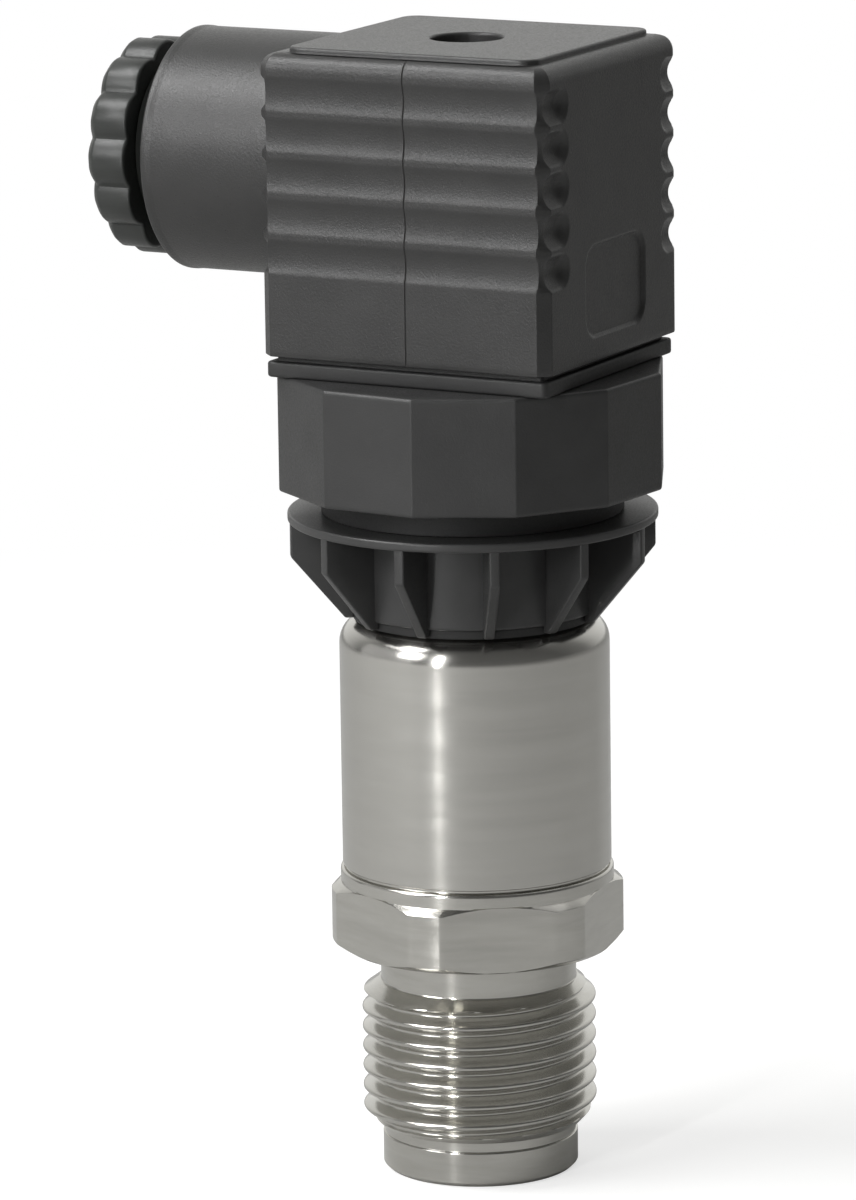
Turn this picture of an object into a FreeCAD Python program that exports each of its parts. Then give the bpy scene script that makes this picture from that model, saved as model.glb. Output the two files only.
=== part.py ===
"""Pressure transmitter with a G 1/2 process connection and a right-angle plug connector.

The device axis is Z. The origin is the mouth of the pressure port, at the centre of the lower
end face. The cable gland points along -X. Sizes are in millimetres and angles in degrees.
"""
import FreeCAD, Part
import math
import os
import re

import Sketcher
from FreeCAD import Placement, Rotation, Vector

SIZES = {
    # process connection, from the bottom up
    "port_radius": 3.0,
    "collar_radius": 8.75,
    "collar_length": 3.2,
    "edge_break": 0.35,
    "relief_radius": 8.6,
    "relief_length": 1.0,
    "thread_radius": 10.4775,
    "thread_length": 13.1,
    "lead_in_radial": 1.3,
    "lead_in_length": 1.4,
    "run_out_radial": 1.65,
    "run_out_length": 1.2,
    "thread_pitch": 1.814,
    "thread_depth": 1.162,
    "thread_land": 0.302,
    "thread_top": 1.323,
    "neck_radius": 8.75,
    "neck_length": 3.2,
    "hex_flats": 24.0,
    "hex_corner_radius": 13.04,
    "hex_height": 6.0,
    "hex_turn": 6.2,
    "hex_bevel": 30,
    "hex_bevel_round": 12,
    "band_radius": 12.2,
    "band_height": 1.2,
    "weld_radius": 11.7,
    "weld_height": 0.3,
    "register_length": 3.5,
    # pressure cell and what holds it
    "cell_radius": 9.0,
    "cell_thickness": 6.35,
    "cell_gap": 0.2,
    "cell_bevel": 0.4,
    "cell_floor": 2.0,
    "seal_mean_radius": 6.0,
    "seal_width": 1.6,
    "seal_height": 1.5,
    "seal_groove_gap": 0.05,
    "clamp_height": 2.5,
    "clamp_bore": 6.5,
    "clamp_slot": 2.0,
    "clamp_slot_depth": 1.0,
    # electronics
    "board_width": 14.0,
    "board_height": 13.6,
    "board_thickness": 1.6,
    "chip_width": 5.0,
    "chip_height": 4.4,
    "chip_thickness": 1.4,
    "chip_rise": 7.5,
    "capacitor_width": 3.2,
    "capacitor_height": 2.5,
    "capacitor_thickness": 1.6,
    "capacitor_spacing": 7.0,
    "capacitor_rise": 3.0,
    "ribbon_width": 5.0,
    "ribbon_thickness": 0.3,
    "ribbon_length": 8.0,
    "header_width": 12.0,
    "header_depth": 4.0,
    "header_height": 3.0,
    "header_pitch": 3.0,
    "wire_radius": 0.5,
    "wire_clearance": 2.0,
    "wire_drop": 0.8,
    "wire_slope": 1.4,
    # sleeve
    "sleeve_radius": 12.0,
    "sleeve_wall": 1.0,
    "sleeve_length": 22.35,
    "shoulder_radius": 2.3,
    "sleeve_seal_thickness": 0.8,
    # ribbed vent ring
    "core_radius": 11.15,
    "core_length": 8.05,
    "flange_radius": 16.4,
    "flange_thickness": 0.8,
    "rib_count": 12,
    "rib_thickness": 0.9,
    "rib_reach": 16.25,
    "rib_side_height": 3.05,
    "rib_foot_radius": 11.5,
    "rib_height": 8.7,
    "rib_turn": 4.0,
    "rib_root": 0.4,
    "neck_seal_radius": 13.4,
    "neck_seal_step": 0.5,
    "neck_seal_thickness": 2.35,
    # twelve-sided connector base and its contacts
    "base_flats": 33.6,
    "base_sides": 12,
    "base_height": 10.45,
    "base_turn": -5.0,
    "spigot_radius": 8.8,
    "spigot_bore": 7.0,
    "spigot_reach": 15.85,
    "fit_gap": 0.05,
    "nut_height": 3.0,
    "nut_radius": 10.7,
    "nut_slot": 2.0,
    "nut_slot_depth": 1.2,
    "carrier_radius": 12.3,
    "carrier_thickness": 4.0,
    "carrier_ledge": 1.9,
    "boss_end_margin": 1.8,
    "boss_side_margin": 1.2,
    "carrier_boss_height": 1.6,
    "recess_floor": 2.0,
    "hub_radius": 4.0,
    "hub_height": 2.0,
    "bush_radius": 2.4,
    "screw_core_gap": 0.05,
    "pin_circle_radius": 9.0,
    "blade_width": 6.3,
    "blade_thickness": 0.8,
    "blade_rise": 8.5,
    "earth_extra": 0.8,
    "blade_tail": 1.8,
    "blade_bevel": 1.2,
    "blade_gap": 0.1,
    # profile gasket
    "gasket_inset": 0.33,
    "gasket_thickness": 1.4,
    "gasket_corner": 0.6,
    "gasket_bead_width": 1.0,
    "gasket_bead_height": 0.42,
    "gasket_bead_inset": 0.7,
    "gasket_gap": 0.1,
    "plug_gap": 0.08,
    # plug housing
    "plug_end_room": 2.15,
    "plug_side_room": 0.95,
    "plug_height": 26.6,
    "plug_wall": 2.0,
    "plug_roof": 3.0,
    "front_bevel": 1.0,
    "back_corner": 0.9,
    "top_round": 1.5,
    "plateau_width": 24.2,
    "plateau_depth": 23.4,
    "plateau_rise": 0.5,
    "plateau_corner": 1.6,
    "plateau_shift": 0.2,
    "grip_count": 5,
    "grip_pitch": 3.57,
    "grip_top": 3.47,
    "grip_radius": 4.2,
    "grip_depth": 0.28,
    "scoop_radius": 1.9,
    "scoop_depth": 0.8,
    "front_scoop_reach": 4.4,
    "back_scoop_reach": 3.2,
    "plate_width": 11.6,
    "plate_height": 8.3,
    "plate_rise": 2.0,
    "plate_shift": 0.5,
    "plate_corner": 2.0,
    "plate_sink": 0.3,
    "screw_hole_radius": 3.2,
    "pillar_gap": 0.2,
    "screw_seat_thickness": 2.0,
    "pillar_radius": 4.4,
    "shank_hole_gap": 0.25,
    # cable gland
    "gland_rise": 15.95,
    "barrel_radius": 10.8,
    "barrel_length": 12.9,
    "barrel_rim": 0.8,
    "barrel_rim_rise": 0.12,
    "barrel_bore": 8.0,
    "barrel_bore_depth": 11.5,
    "cable_hole": 5.5,
    "thread_gap": 0.08,
    "nut_rim_gap": 2.35,
    "nut_head_length": 4.1,
    "nut_head_radius": 9.75,
    "nut_valley_radius": 9.0,
    "nut_lobes": 13,
    "nut_lobe_turn": 3.05,
    "nut_bevel": 0.9,
    "nut_bore": 5.0,
    "nut_bore_bevel": 1.0,
    "nut_thread_length": 6.1,
    "gland_washer_thickness": 0.6,
    "gland_play": 2.3,
    "grommet_gap": 0.12,
    # contact block of the plug
    "block_gap": 0.1,
    "block_lift": 0.5,
    "block_height": 11.3,
    "terminal_side": 0.7,
    "terminal_back": 0.4,
    "terminal_depth": 3.5,
    "terminal_height": 9.4,
    "terminal_lift": 0.7,
    "slot_margin": 0.2,
    "clamp_screw_radius": 1.15,
    "clamp_head_radius": 1.65,
    "clamp_head_height": 1.4,
    "clamp_screw_depth": 1.3,
    # fixing screw
    "screw_radius": 1.45,
    "screw_head_radius": 2.75,
    "screw_head_height": 2.0,
    "screw_slot_width": 0.8,
    "screw_slot_depth": 1.0,
    "screw_washer_radius": 2.9,
    "screw_washer_thickness": 0.5,
    "screw_engagement": 6.1,
}

# Levels along Z and other sizes that follow from the sheet.
LEVELS = {
    "thread_foot": "collar_length + relief_length",
    "thread_head": "thread_foot + thread_length",
    "thread_root": "thread_radius - thread_depth",
    "thread_turns": "floor((thread_length - thread_top) / thread_pitch) + 1",
    "hex_foot": "thread_head + neck_length",
    "hex_head": "hex_foot + hex_height",
    "bevel_run": "hex_corner_radius - hex_flats / 2",
    "bevel_drop": "bevel_run * tan(hex_bevel * 1deg)",
    "bevel_chord": "bevel_run / cos(hex_bevel * 1deg)",
    "bevel_reach": "sqrt(hex_bevel_round ^ 2 - (bevel_chord / 2) ^ 2)",
    "bevel_centre_radius": "(hex_flats / 2 + bevel_run / 2) - bevel_reach * sin(hex_bevel * 1deg)",
    "bevel_centre_rise": "bevel_drop / 2 + bevel_reach * cos(hex_bevel * 1deg)",
    "band_head": "hex_head + band_height",
    "sleeve_foot": "band_head + weld_height",
    "sleeve_head": "sleeve_foot + sleeve_length",
    "sleeve_bore": "sleeve_radius - sleeve_wall",
    "register_radius": "sleeve_bore - fit_gap",
    "pocket_radius": "cell_radius + cell_gap",
    "cell_foot": "hex_foot + cell_floor",
    "cell_head": "cell_foot + cell_thickness",
    "clamp_head": "cell_head + clamp_height",
    "seal_groove_depth": "seal_height",
    "board_head": "clamp_head + board_height",
    "header_head": "board_head + header_height",
    "core_foot": "sleeve_head + sleeve_seal_thickness",
    "flange_foot": "core_foot + core_length",
    "flange_head": "flange_foot + flange_thickness",
    "base_foot": "flange_head + neck_seal_thickness",
    "base_head": "base_foot + base_height",
    "ring_bore": "spigot_radius + 3 * fit_gap",
    "recess_radius": "carrier_radius + 2 * fit_gap",
    "carrier_foot": "base_head - carrier_thickness",
    "boss_head": "base_head + carrier_boss_height",
    "gasket_head": "base_head + gasket_thickness",
    "plug_foot": "gasket_head + gasket_bead_height + plug_gap",
    "plug_head": "plug_foot + plug_height",
    "plateau_head": "plug_head + plateau_rise",
    "block_foot": "boss_head + block_lift",
    "terminal_foot": "block_foot + terminal_lift",
    "terminal_head": "terminal_foot + terminal_height",
    "block_head": "block_foot + block_height",
    "pillar_foot": "block_head + pillar_gap",
    "seat_level": "pillar_foot + screw_seat_thickness",
    "screw_level": "seat_level + screw_washer_thickness",
    "gland_level": "plug_foot + gland_rise",
    "barrel_end": "plug_width / 2 + barrel_length",
    "seat_end": "barrel_end - barrel_bore_depth",
    "nut_foot": "barrel_end + nut_rim_gap",
    "nut_thread_end": "nut_foot - nut_thread_length",
    "nut_end": "nut_foot + nut_head_length",
    "nut_thread_radius": "barrel_bore - thread_gap",
    "washer_end": "nut_thread_end - gland_washer_thickness",
    "grommet_end": "washer_end - gland_play",
    "terminal_outer": "pin_circle_radius + blade_thickness / 2 + blade_gap + terminal_back",
    "terminal_inner": "terminal_outer - terminal_depth",
    "terminal_width": "blade_width + 2 * blade_gap + 2 * terminal_side",
    "plug_width": "2 * (terminal_outer + plug_end_room + plug_wall)",
    "plug_depth": "2 * (terminal_outer + plug_side_room + plug_wall)",
    "gasket_width": "plug_width - 2 * gasket_inset",
    "gasket_depth": "plug_depth - 2 * gasket_inset",
    "carrier_boss_width": "2 * (pin_circle_radius + boss_end_margin)",
    "carrier_boss_depth": "2 * (pin_circle_radius + boss_side_margin)",
}

document = FreeCAD.newDocument("PressureTransmitter")
sheet = document.addObject("Spreadsheet::Sheet", "Sizes")
for row, (alias, value) in enumerate(SIZES.items(), start=1):
    sheet.set(f"A{row}", alias.replace("_", " "))
    sheet.set(f"B{row}", str(value))
    sheet.setAlias(f"B{row}", alias)
document.recompute()


def expression(text):
    """A formula over the sheet's cells, with each level written out."""

    def cell(match):
        word = match.group(0)
        if word in LEVELS:
            return "(" + expression(LEVELS[word]) + ")"
        if word in SIZES:
            return "Sizes." + word
        return word

    return re.sub(r"[a-z]\w*", cell, text)


def amount(text):
    """The present value of a formula."""
    return float(sheet.evalExpression(expression(text)))


def new_body(name):
    """An empty body whose label names its file."""
    body = document.addObject("PartDesign::Body", name)
    body.Label = name
    return body


def origin_part(body, role):
    """One plane or axis of the body's own origin."""
    return next(part for part in body.Origin.OriginFeatures if part.Role == role)


def sketch_on(body, name, plane, across=None, out=None):
    """A sketch on an origin plane, moved across its own x axis and out along its normal."""
    sketch = body.newObject("Sketcher::SketchObject", name)
    sketch.AttachmentSupport = [(origin_part(body, plane), "")]
    sketch.MapMode = "FlatFace"
    if across:
        sketch.setExpression("AttachmentOffset.Base.x", expression(across))
    if out:
        sketch.setExpression("AttachmentOffset.Base.z", expression(out))
    return sketch


def bind(sketch, constraint, text):
    """Add a size or place constraint and tie it to a formula."""
    index = sketch.addConstraint(constraint)
    sketch.setExpression(f"Constraints[{index}]", expression(text))


def pin_point(sketch, geometry, end, across, up):
    """Hold one point of a sketch at its two coordinates."""
    if across == "0":
        sketch.addConstraint(Sketcher.Constraint("PointOnObject", geometry, end, -2))
    else:
        bind(sketch, Sketcher.Constraint("DistanceX", -1, 1, geometry, end, amount(across)), across)
    if up == "0":
        sketch.addConstraint(Sketcher.Constraint("PointOnObject", geometry, end, -1))
    else:
        bind(sketch, Sketcher.Constraint("DistanceY", -1, 1, geometry, end, amount(up)), up)


def draw_outline(sketch, corners):
    """Close an outline through corners given as (across, up) formulas.

    A corner may go on with (radius, centre across, centre up): the edge that leaves it is then
    the shorter arc about that centre.
    """
    points = [Vector(amount(corner[0]), amount(corner[1]), 0) for corner in corners]
    ends = []
    for index, corner in enumerate(corners):
        start = points[index]
        finish = points[(index + 1) % len(points)]
        if len(corner) == 2:
            sketch.addGeometry(Part.LineSegment(start, finish))
            ends.append((1, 2))
            continue
        radius, across, up = corner[2:]
        centre = Vector(amount(across), amount(up), 0)
        first = math.atan2(start.y - centre.y, start.x - centre.x)
        last = math.atan2(finish.y - centre.y, finish.x - centre.x)
        forward = (last - first) % math.tau < math.pi
        span = (first, last) if forward else (last, first)
        circle = Part.Circle(centre, Vector(0, 0, 1), amount(radius))
        sketch.addGeometry(Part.ArcOfCircle(circle, *span))
        ends.append((1, 2) if forward else (2, 1))
    for index, corner in enumerate(corners):
        following = (index + 1) % len(corners)
        joint = Sketcher.Constraint("Coincident", index, ends[index][1], following, ends[following][0])
        sketch.addConstraint(joint)
        pin_point(sketch, index, ends[index][0], corner[0], corner[1])
        if len(corner) > 2:
            bind(sketch, Sketcher.Constraint("Radius", index, amount(corner[2])), corner[2])


def draw_circle(sketch, radius, across="0", up="0"):
    """A circle with a bound centre and radius."""
    index = sketch.GeometryCount
    centre = Vector(amount(across), amount(up), 0)
    sketch.addGeometry(Part.Circle(centre, Vector(0, 0, 1), amount(radius)))
    pin_point(sketch, index, 3, across, up)
    bind(sketch, Sketcher.Constraint("Radius", index, amount(radius)), radius)


def box_corners(half_across, half_up):
    """Corners of a rectangle about the sketch's origin."""
    return [
        (f"-({half_across})", f"-({half_up})"),
        (half_across, f"-({half_up})"),
        (half_across, half_up),
        (f"-({half_across})", half_up),
    ]


def rounded_corners(low_x, low_y, high_x, high_y, radii):
    """Corners of a rectangle with one arc radius for each corner, anticlockwise from the low one."""
    places = [(low_x, low_y, "+", "+"), (high_x, low_y, "-", "+")]
    places += [(high_x, high_y, "-", "-"), (low_x, high_y, "+", "-")]
    corners = []
    for index, ((x, y, x_sign, y_sign), radius) in enumerate(zip(places, radii)):
        centre_x = f"{x} {x_sign} {radius}"
        centre_y = f"{y} {y_sign} {radius}"
        on_upright = (x, centre_y)
        on_level = (centre_x, y)
        first, second = (on_upright, on_level) if index % 2 == 0 else (on_level, on_upright)
        corners += [first + (radius, centre_x, centre_y), second]
    return corners


def extrude(kind, body, sketch, length, reverse=False, both=False):
    """A Pad or Pocket of the sketch."""
    feature = body.newObject("PartDesign::" + kind, sketch.Name + kind)
    feature.Profile = sketch
    feature.setExpression("Length", expression(length))
    feature.Reversed = reverse
    if both:
        feature.SideType = "Symmetric"
    return feature


def turn(kind, body, sketch, axis="V_Axis"):
    """A Revolution or Groove of the sketch, a whole turn about one of its axes."""
    feature = body.newObject("PartDesign::" + kind, sketch.Name + kind)
    feature.Profile = sketch
    feature.ReferenceAxis = (sketch, [axis])
    feature.Angle = 360
    return feature


def repeat_round(body, feature, count, axis="Z_Axis"):
    """Spread a feature evenly round an axis of the body."""
    pattern = body.newObject("PartDesign::PolarPattern", feature.Name + "Round")
    pattern.Originals = [feature]
    pattern.Axis = (origin_part(body, axis), [""])
    pattern.Angle = 360
    pattern.setExpression("Occurrences", expression(count))
    body.Tip = pattern
    return pattern


def repeat_down(body, feature, count, pitch):
    """Repeat a feature downwards at a pitch."""
    pattern = body.newObject("PartDesign::LinearPattern", feature.Name + "Row")
    pattern.Originals = [feature]
    pattern.Direction = (origin_part(body, "Z_Axis"), [""])
    pattern.Reversed = True
    pattern.Mode = "Spacing"
    pattern.setExpression("Offset", expression(pitch))
    pattern.setExpression("Occurrences", expression(count))
    body.Tip = pattern
    return pattern


def turned_body(name, corners):
    """A body turned about Z from its half section in the XZ plane."""
    body = new_body(name)
    sketch = sketch_on(body, name + "_section", "XZ_Plane")
    draw_outline(sketch, corners)
    turn("Revolution", body, sketch)
    return body


def ring_section(inner, outer, foot, head):
    """Half section of a plain ring."""
    return [(inner, foot), (outer, foot), (outer, head), (inner, head)]


def turned_across(name, corners):
    """A body turned about the cable gland's axis, its section's across axis pointing along -X."""
    body = new_body(name)
    body.setExpression("Placement.Base.z", expression("gland_level"))
    sketch = sketch_on(body, name + "_section", "XZ_Plane")
    draw_outline(sketch, [(f"-({corner[0]})",) + tuple(corner[1:2]) for corner in corners])
    turn("Revolution", body, sketch, "H_Axis")
    return body


def block(name, width, depth, height, centre_x, centre_y, foot):
    """A rectangular piece standing on a level."""
    body = new_body(name)
    body.setExpression("Placement.Base.x", expression(centre_x))
    body.setExpression("Placement.Base.y", expression(centre_y))
    body.setExpression("Placement.Base.z", expression(foot))
    sketch = sketch_on(body, name + "_outline", "XY_Plane")
    draw_outline(sketch, box_corners(f"({width}) / 2", f"({depth}) / 2"))
    extrude("Pad", body, sketch, height)
    return body


def polygon_corners(sides, flats, turned):
    """Corners of an upright regular polygon, the middle of one side at the turned angle."""
    radius = f"{flats} / 2 / cos(180deg / {sides})"
    corners = []
    for index in range(int(amount(sides))):
        angle = f"({turned} + ({index} + 0.5) * 360 / {sides}) * 1deg"
        corners.append((f"{radius} * cos({angle})", f"{radius} * sin({angle})"))
    return corners


# --- Process connection and pressure cell -------------------------------------------------------


def make_process_connection():
    """Port collar, threaded part, hexagon and sleeve register, turned from one bar."""
    body = turned_body("process_connection", [
        ("port_radius", "0"),
        ("collar_radius - edge_break", "0"),
        ("collar_radius", "edge_break"),
        ("collar_radius", "collar_length"),
        ("relief_radius", "collar_length"),
        ("relief_radius", "thread_foot"),
        ("thread_radius - lead_in_radial", "thread_foot"),
        ("thread_radius", "thread_foot + lead_in_length"),
        ("thread_radius", "thread_head - run_out_length"),
        ("thread_radius - run_out_radial", "thread_head"),
        ("neck_radius", "thread_head"),
        ("neck_radius", "hex_foot"),
        ("neck_radius + edge_break", "hex_foot"),
        ("neck_radius + edge_break", "hex_head"),
        ("band_radius", "hex_head"),
        ("band_radius", "band_head"),
        ("weld_radius", "band_head"),
        ("weld_radius", "sleeve_foot"),
        ("register_radius", "sleeve_foot"),
        ("register_radius", "sleeve_foot + register_length"),
        ("pocket_radius", "sleeve_foot + register_length"),
        ("pocket_radius", "cell_foot"),
        ("port_radius", "cell_foot"),
    ])
    flats = sketch_on(body, "hexagon", "XY_Plane", out="hex_foot")
    draw_outline(flats, polygon_corners("6", "hex_flats", "hex_turn"))
    extrude("Pad", body, flats, "hex_height")
    # The pad fills the cell pocket above its floor, so the pocket is bored again.
    bore = sketch_on(body, "cell_pocket", "XY_Plane", out="cell_foot")
    draw_circle(bore, "pocket_radius")
    extrude("Pocket", body, bore, "hex_head - cell_foot", reverse=True)
    port = sketch_on(body, "pressure_port", "XY_Plane", out="hex_foot")
    draw_circle(port, "port_radius")
    extrude("Pocket", body, port, "hex_height", reverse=True)
    # The turns stand as rings at the thread's pitch, with its depth and flanks.
    turns = sketch_on(body, "thread_groove", "XZ_Plane")
    top_root = "(thread_head - thread_top)"
    half_mouth = "((thread_pitch - thread_land) / 2)"
    draw_outline(turns, [
        ("thread_root", f"{top_root} - thread_land / 2"),
        ("thread_radius", f"{top_root} - {half_mouth}"),
        ("thread_radius + thread_land", f"{top_root} - {half_mouth}"),
        ("thread_radius + thread_land", f"{top_root} + {half_mouth}"),
        ("thread_radius", f"{top_root} + {half_mouth}"),
        ("thread_root", f"{top_root} + thread_land / 2"),
    ])
    groove = turn("Groove", body, turns)
    repeat_down(body, groove, "thread_turns", "thread_pitch")
    # The turned bevels are slightly domed, as a form tool leaves them.
    bevels = sketch_on(body, "hexagon_bevels", "XZ_Plane")
    draw_outline(bevels, [
        ("hex_flats / 2", "hex_foot",
         "hex_bevel_round", "bevel_centre_radius", "hex_foot + bevel_centre_rise"),
        ("hex_corner_radius", "hex_foot + bevel_drop"),
        ("hex_corner_radius", "hex_head - bevel_drop",
         "hex_bevel_round", "bevel_centre_radius", "hex_head - bevel_centre_rise"),
        ("hex_flats / 2", "hex_head"),
        ("hex_flats", "hex_head"),
        ("hex_flats", "hex_foot"),
    ])
    turn("Groove", body, bevels)
    groove = sketch_on(body, "seal_groove", "XZ_Plane")
    half_groove = "(seal_width / 2 + seal_groove_gap)"
    draw_outline(groove, ring_section(
        f"seal_mean_radius - {half_groove}", f"seal_mean_radius + {half_groove}",
        "cell_foot - seal_groove_depth", "cell_foot"))
    turn("Groove", body, groove)
    return body


def make_cell_seal():
    """Square-section seal that fills the height of the groove under the cell."""
    return turned_body("cell_seal", ring_section(
        "seal_mean_radius - seal_width / 2", "seal_mean_radius + seal_width / 2",
        "cell_foot - seal_groove_depth", "cell_foot"))


def make_cell():
    """Ceramic pressure cell with bevelled rims and a shallow hollow over its diaphragm."""
    return turned_body("ceramic_cell", [
        ("0", "cell_foot + cell_bevel"),
        ("port_radius", "cell_foot + cell_bevel"),
        ("port_radius + cell_bevel", "cell_foot"),
        ("cell_radius - cell_bevel", "cell_foot"),
        ("cell_radius", "cell_foot + cell_bevel"),
        ("cell_radius", "cell_head - cell_bevel"),
        ("cell_radius - cell_bevel", "cell_head"),
        ("0", "cell_head"),
    ])


def make_cell_clamp():
    """Slotted ring that holds the cell down on its seal."""
    body = turned_body("cell_clamp_ring", ring_section(
        "clamp_bore", "pocket_radius - fit_gap", "cell_head", "clamp_head"))
    slots = sketch_on(body, "clamp_slots", "XY_Plane", out="clamp_head")
    draw_outline(slots, box_corners("pocket_radius", "clamp_slot / 2"))
    extrude("Pocket", body, slots, "clamp_slot_depth")
    return body


def make_electronics():
    """Upright board on the clamp ring, with its chip, capacitors, cell ribbon and wire header."""
    # The board stands in the clamp ring's slot.
    seat = "clamp_head - clamp_slot_depth"
    board = block("circuit_board", "board_width", "board_thickness",
                  "board_height + clamp_slot_depth", "0", "0", seat)
    face = "board_thickness / 2"
    chip = block("amplifier_chip", "chip_width", "chip_thickness", "chip_height",
                 "0", f"-({face} + chip_thickness / 2)", "clamp_head + chip_rise")
    capacitors = new_body("filter_capacitors")
    capacitors.setExpression("Placement.Base.z", expression("clamp_head + capacitor_rise"))
    capacitors.AllowCompound = True
    row = sketch_on(capacitors, "capacitor_outlines", "XY_Plane")
    for side in ("-1", "1"):
        centre = f"{side} * capacitor_spacing / 2"
        row_start = row.GeometryCount
        draw_block_outline(row, row_start, centre, f"-({face} + capacitor_thickness / 2)",
                           "capacitor_width / 2", "capacitor_thickness / 2")
    extrude("Pad", capacitors, row, "capacitor_height")
    ribbon = block("cell_ribbon", "ribbon_width", "ribbon_thickness", "ribbon_length",
                   "0", f"{face} + ribbon_thickness / 2", "cell_head")
    header = block("wire_header", "header_width", "header_depth", "header_height",
                   "0", "0", "board_head")
    return [board, chip, capacitors, ribbon, header]


def draw_block_outline(sketch, first, centre_x, centre_y, half_x, half_y):
    """A rectangle about a centre, drawn after the geometry that the sketch already holds."""
    signs = [("-", "-"), ("+", "-"), ("+", "+"), ("-", "+")]
    corners = [(f"{centre_x} {x} {half_x}", f"{centre_y} {y} {half_y}") for x, y in signs]
    points = [Vector(amount(across), amount(up), 0) for across, up in corners]
    for index, point in enumerate(points):
        sketch.addGeometry(Part.LineSegment(point, points[(index + 1) % 4]))
    for index, (across, up) in enumerate(corners):
        following = first + (index + 1) % 4
        sketch.addConstraint(Sketcher.Constraint("Coincident", first + index, 2, following, 1))
        pin_point(sketch, first + index, 1, across, up)


def make_lead_wires():
    """Four insulated wires, eight-sided and mitred, from the contact tails to the header."""
    reach = amount("pin_circle_radius")
    tail = amount("carrier_foot - blade_tail")
    gather = amount("spigot_bore - wire_clearance")
    radius = amount("wire_radius")
    drop = Vector(0, 0, amount("wire_drop"))
    slope = Vector(0, 0, amount("wire_slope"))
    landing = Vector(0, 0, amount("header_head"))
    slots = {180: -1.5, 270: -0.5, 90: 0.5, 0: 1.5}
    sides = 8
    wires = []
    for angle, place in slots.items():
        across = Vector(math.cos(math.radians(angle)), math.sin(math.radians(angle)), 0)
        start = across * reach + Vector(0, 0, tail)
        foot = Vector(place * amount("header_pitch"), 0, 0) + landing
        path = Part.makePolygon([
            start, start - drop, across * gather + Vector(0, 0, tail) - drop - slope,
            foot + drop * 2, foot])
        turns = [math.tau * (side + 0.5) / sides for side in range(sides + 1)]
        rim = [start + Vector(math.cos(turned), math.sin(turned), 0) * radius for turned in turns]
        sweep = Part.BRepOffsetAPI.MakePipeShell(path)
        sweep.setTransitionMode(1)
        sweep.add(Part.makePolygon(rim))
        sweep.build()
        sweep.makeSolid()
        wires.append(sweep.shape())
    piece = document.addObject("Part::Feature", "lead_wires")
    piece.Label = "lead_wires"
    piece.Shape = Part.makeCompound(wires)
    return piece


# --- Sleeve, vent ring and connector base -------------------------------------------------------


def make_sleeve():
    """Sleeve with a rounded shoulder, bevelled inside, welded to the process connection."""
    return turned_body("body_sleeve", [
        ("sleeve_bore", "sleeve_foot"),
        ("sleeve_radius", "sleeve_foot"),
        ("sleeve_radius", "sleeve_head - shoulder_radius",
         "shoulder_radius", "sleeve_radius - shoulder_radius", "sleeve_head - shoulder_radius"),
        ("sleeve_radius - shoulder_radius", "sleeve_head"),
        ("ring_bore", "sleeve_head"),
        ("ring_bore", "sleeve_head - sleeve_wall"),
        ("sleeve_radius - shoulder_radius", "sleeve_head - sleeve_wall"),
        ("sleeve_bore", "sleeve_head - shoulder_radius"),
    ])


def make_vent_ring():
    """Flanged ring whose tapered ribs leave open vent pockets between them."""
    body = turned_body("vent_ring", [
        ("ring_bore", "core_foot"),
        ("core_radius", "core_foot"),
        ("core_radius", "flange_foot"),
        ("flange_radius", "flange_foot"),
        ("flange_radius", "flange_head"),
        ("ring_bore", "flange_head"),
    ])
    body.setExpression("Placement.Rotation.Angle", expression("rib_turn * 1deg"))
    rib = sketch_on(body, "rib_side", "XZ_Plane")
    draw_outline(rib, [
        ("core_radius - rib_root", "flange_foot - rib_height"),
        ("rib_foot_radius", "flange_foot - rib_height"),
        ("rib_reach", "flange_foot - rib_side_height"),
        ("rib_reach", "flange_foot"),
        ("core_radius - rib_root", "flange_foot"),
    ])
    first_rib = extrude("Pad", body, rib, "rib_thickness", both=True)
    repeat_round(body, first_rib, "rib_count")
    return body


def make_connector_base():
    """Twelve-sided housing with a spigot below and a stepped recess for the contact carrier."""
    body = new_body("connector_base")
    outline = sketch_on(body, "base_outline", "XY_Plane", out="base_foot")
    draw_outline(outline, polygon_corners("base_sides", "base_flats", "base_turn"))
    extrude("Pad", body, outline, "base_height")
    spigot = sketch_on(body, "spigot_outline", "XY_Plane", out="base_foot")
    draw_circle(spigot, "spigot_radius")
    extrude("Pad", body, spigot, "spigot_reach", reverse=True)
    hollow = sketch_on(body, "stepped_recess", "XZ_Plane")
    draw_outline(hollow, [
        ("0", "base_foot - spigot_reach"),
        ("spigot_bore", "base_foot - spigot_reach"),
        ("spigot_bore", "base_foot + recess_floor"),
        ("recess_radius - carrier_ledge", "base_foot + recess_floor"),
        ("recess_radius - carrier_ledge", "carrier_foot"),
        ("recess_radius", "carrier_foot"),
        ("recess_radius", "base_head"),
        ("0", "base_head"),
    ])
    turn("Groove", body, hollow)
    return body


def make_retaining_nut():
    """Slotted round nut that clamps the base's spigot inside the sleeve."""
    head = "sleeve_head - sleeve_wall"
    bore = "spigot_radius + fit_gap"
    inner_round = "(shoulder_radius - sleeve_wall)"
    body = turned_body("retaining_nut", [
        (bore, f"{head} - nut_height"),
        ("nut_radius", f"{head} - nut_height"),
        ("nut_radius", f"{head} - {inner_round}"),
        (f"nut_radius - {inner_round}", head),
        (bore, head),
    ])
    slots = sketch_on(body, "nut_slots", "XY_Plane", out=f"{head} - nut_height")
    draw_outline(slots, box_corners("nut_radius", "nut_slot / 2"))
    extrude("Pocket", body, slots, "nut_slot_depth", reverse=True)
    return body


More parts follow.
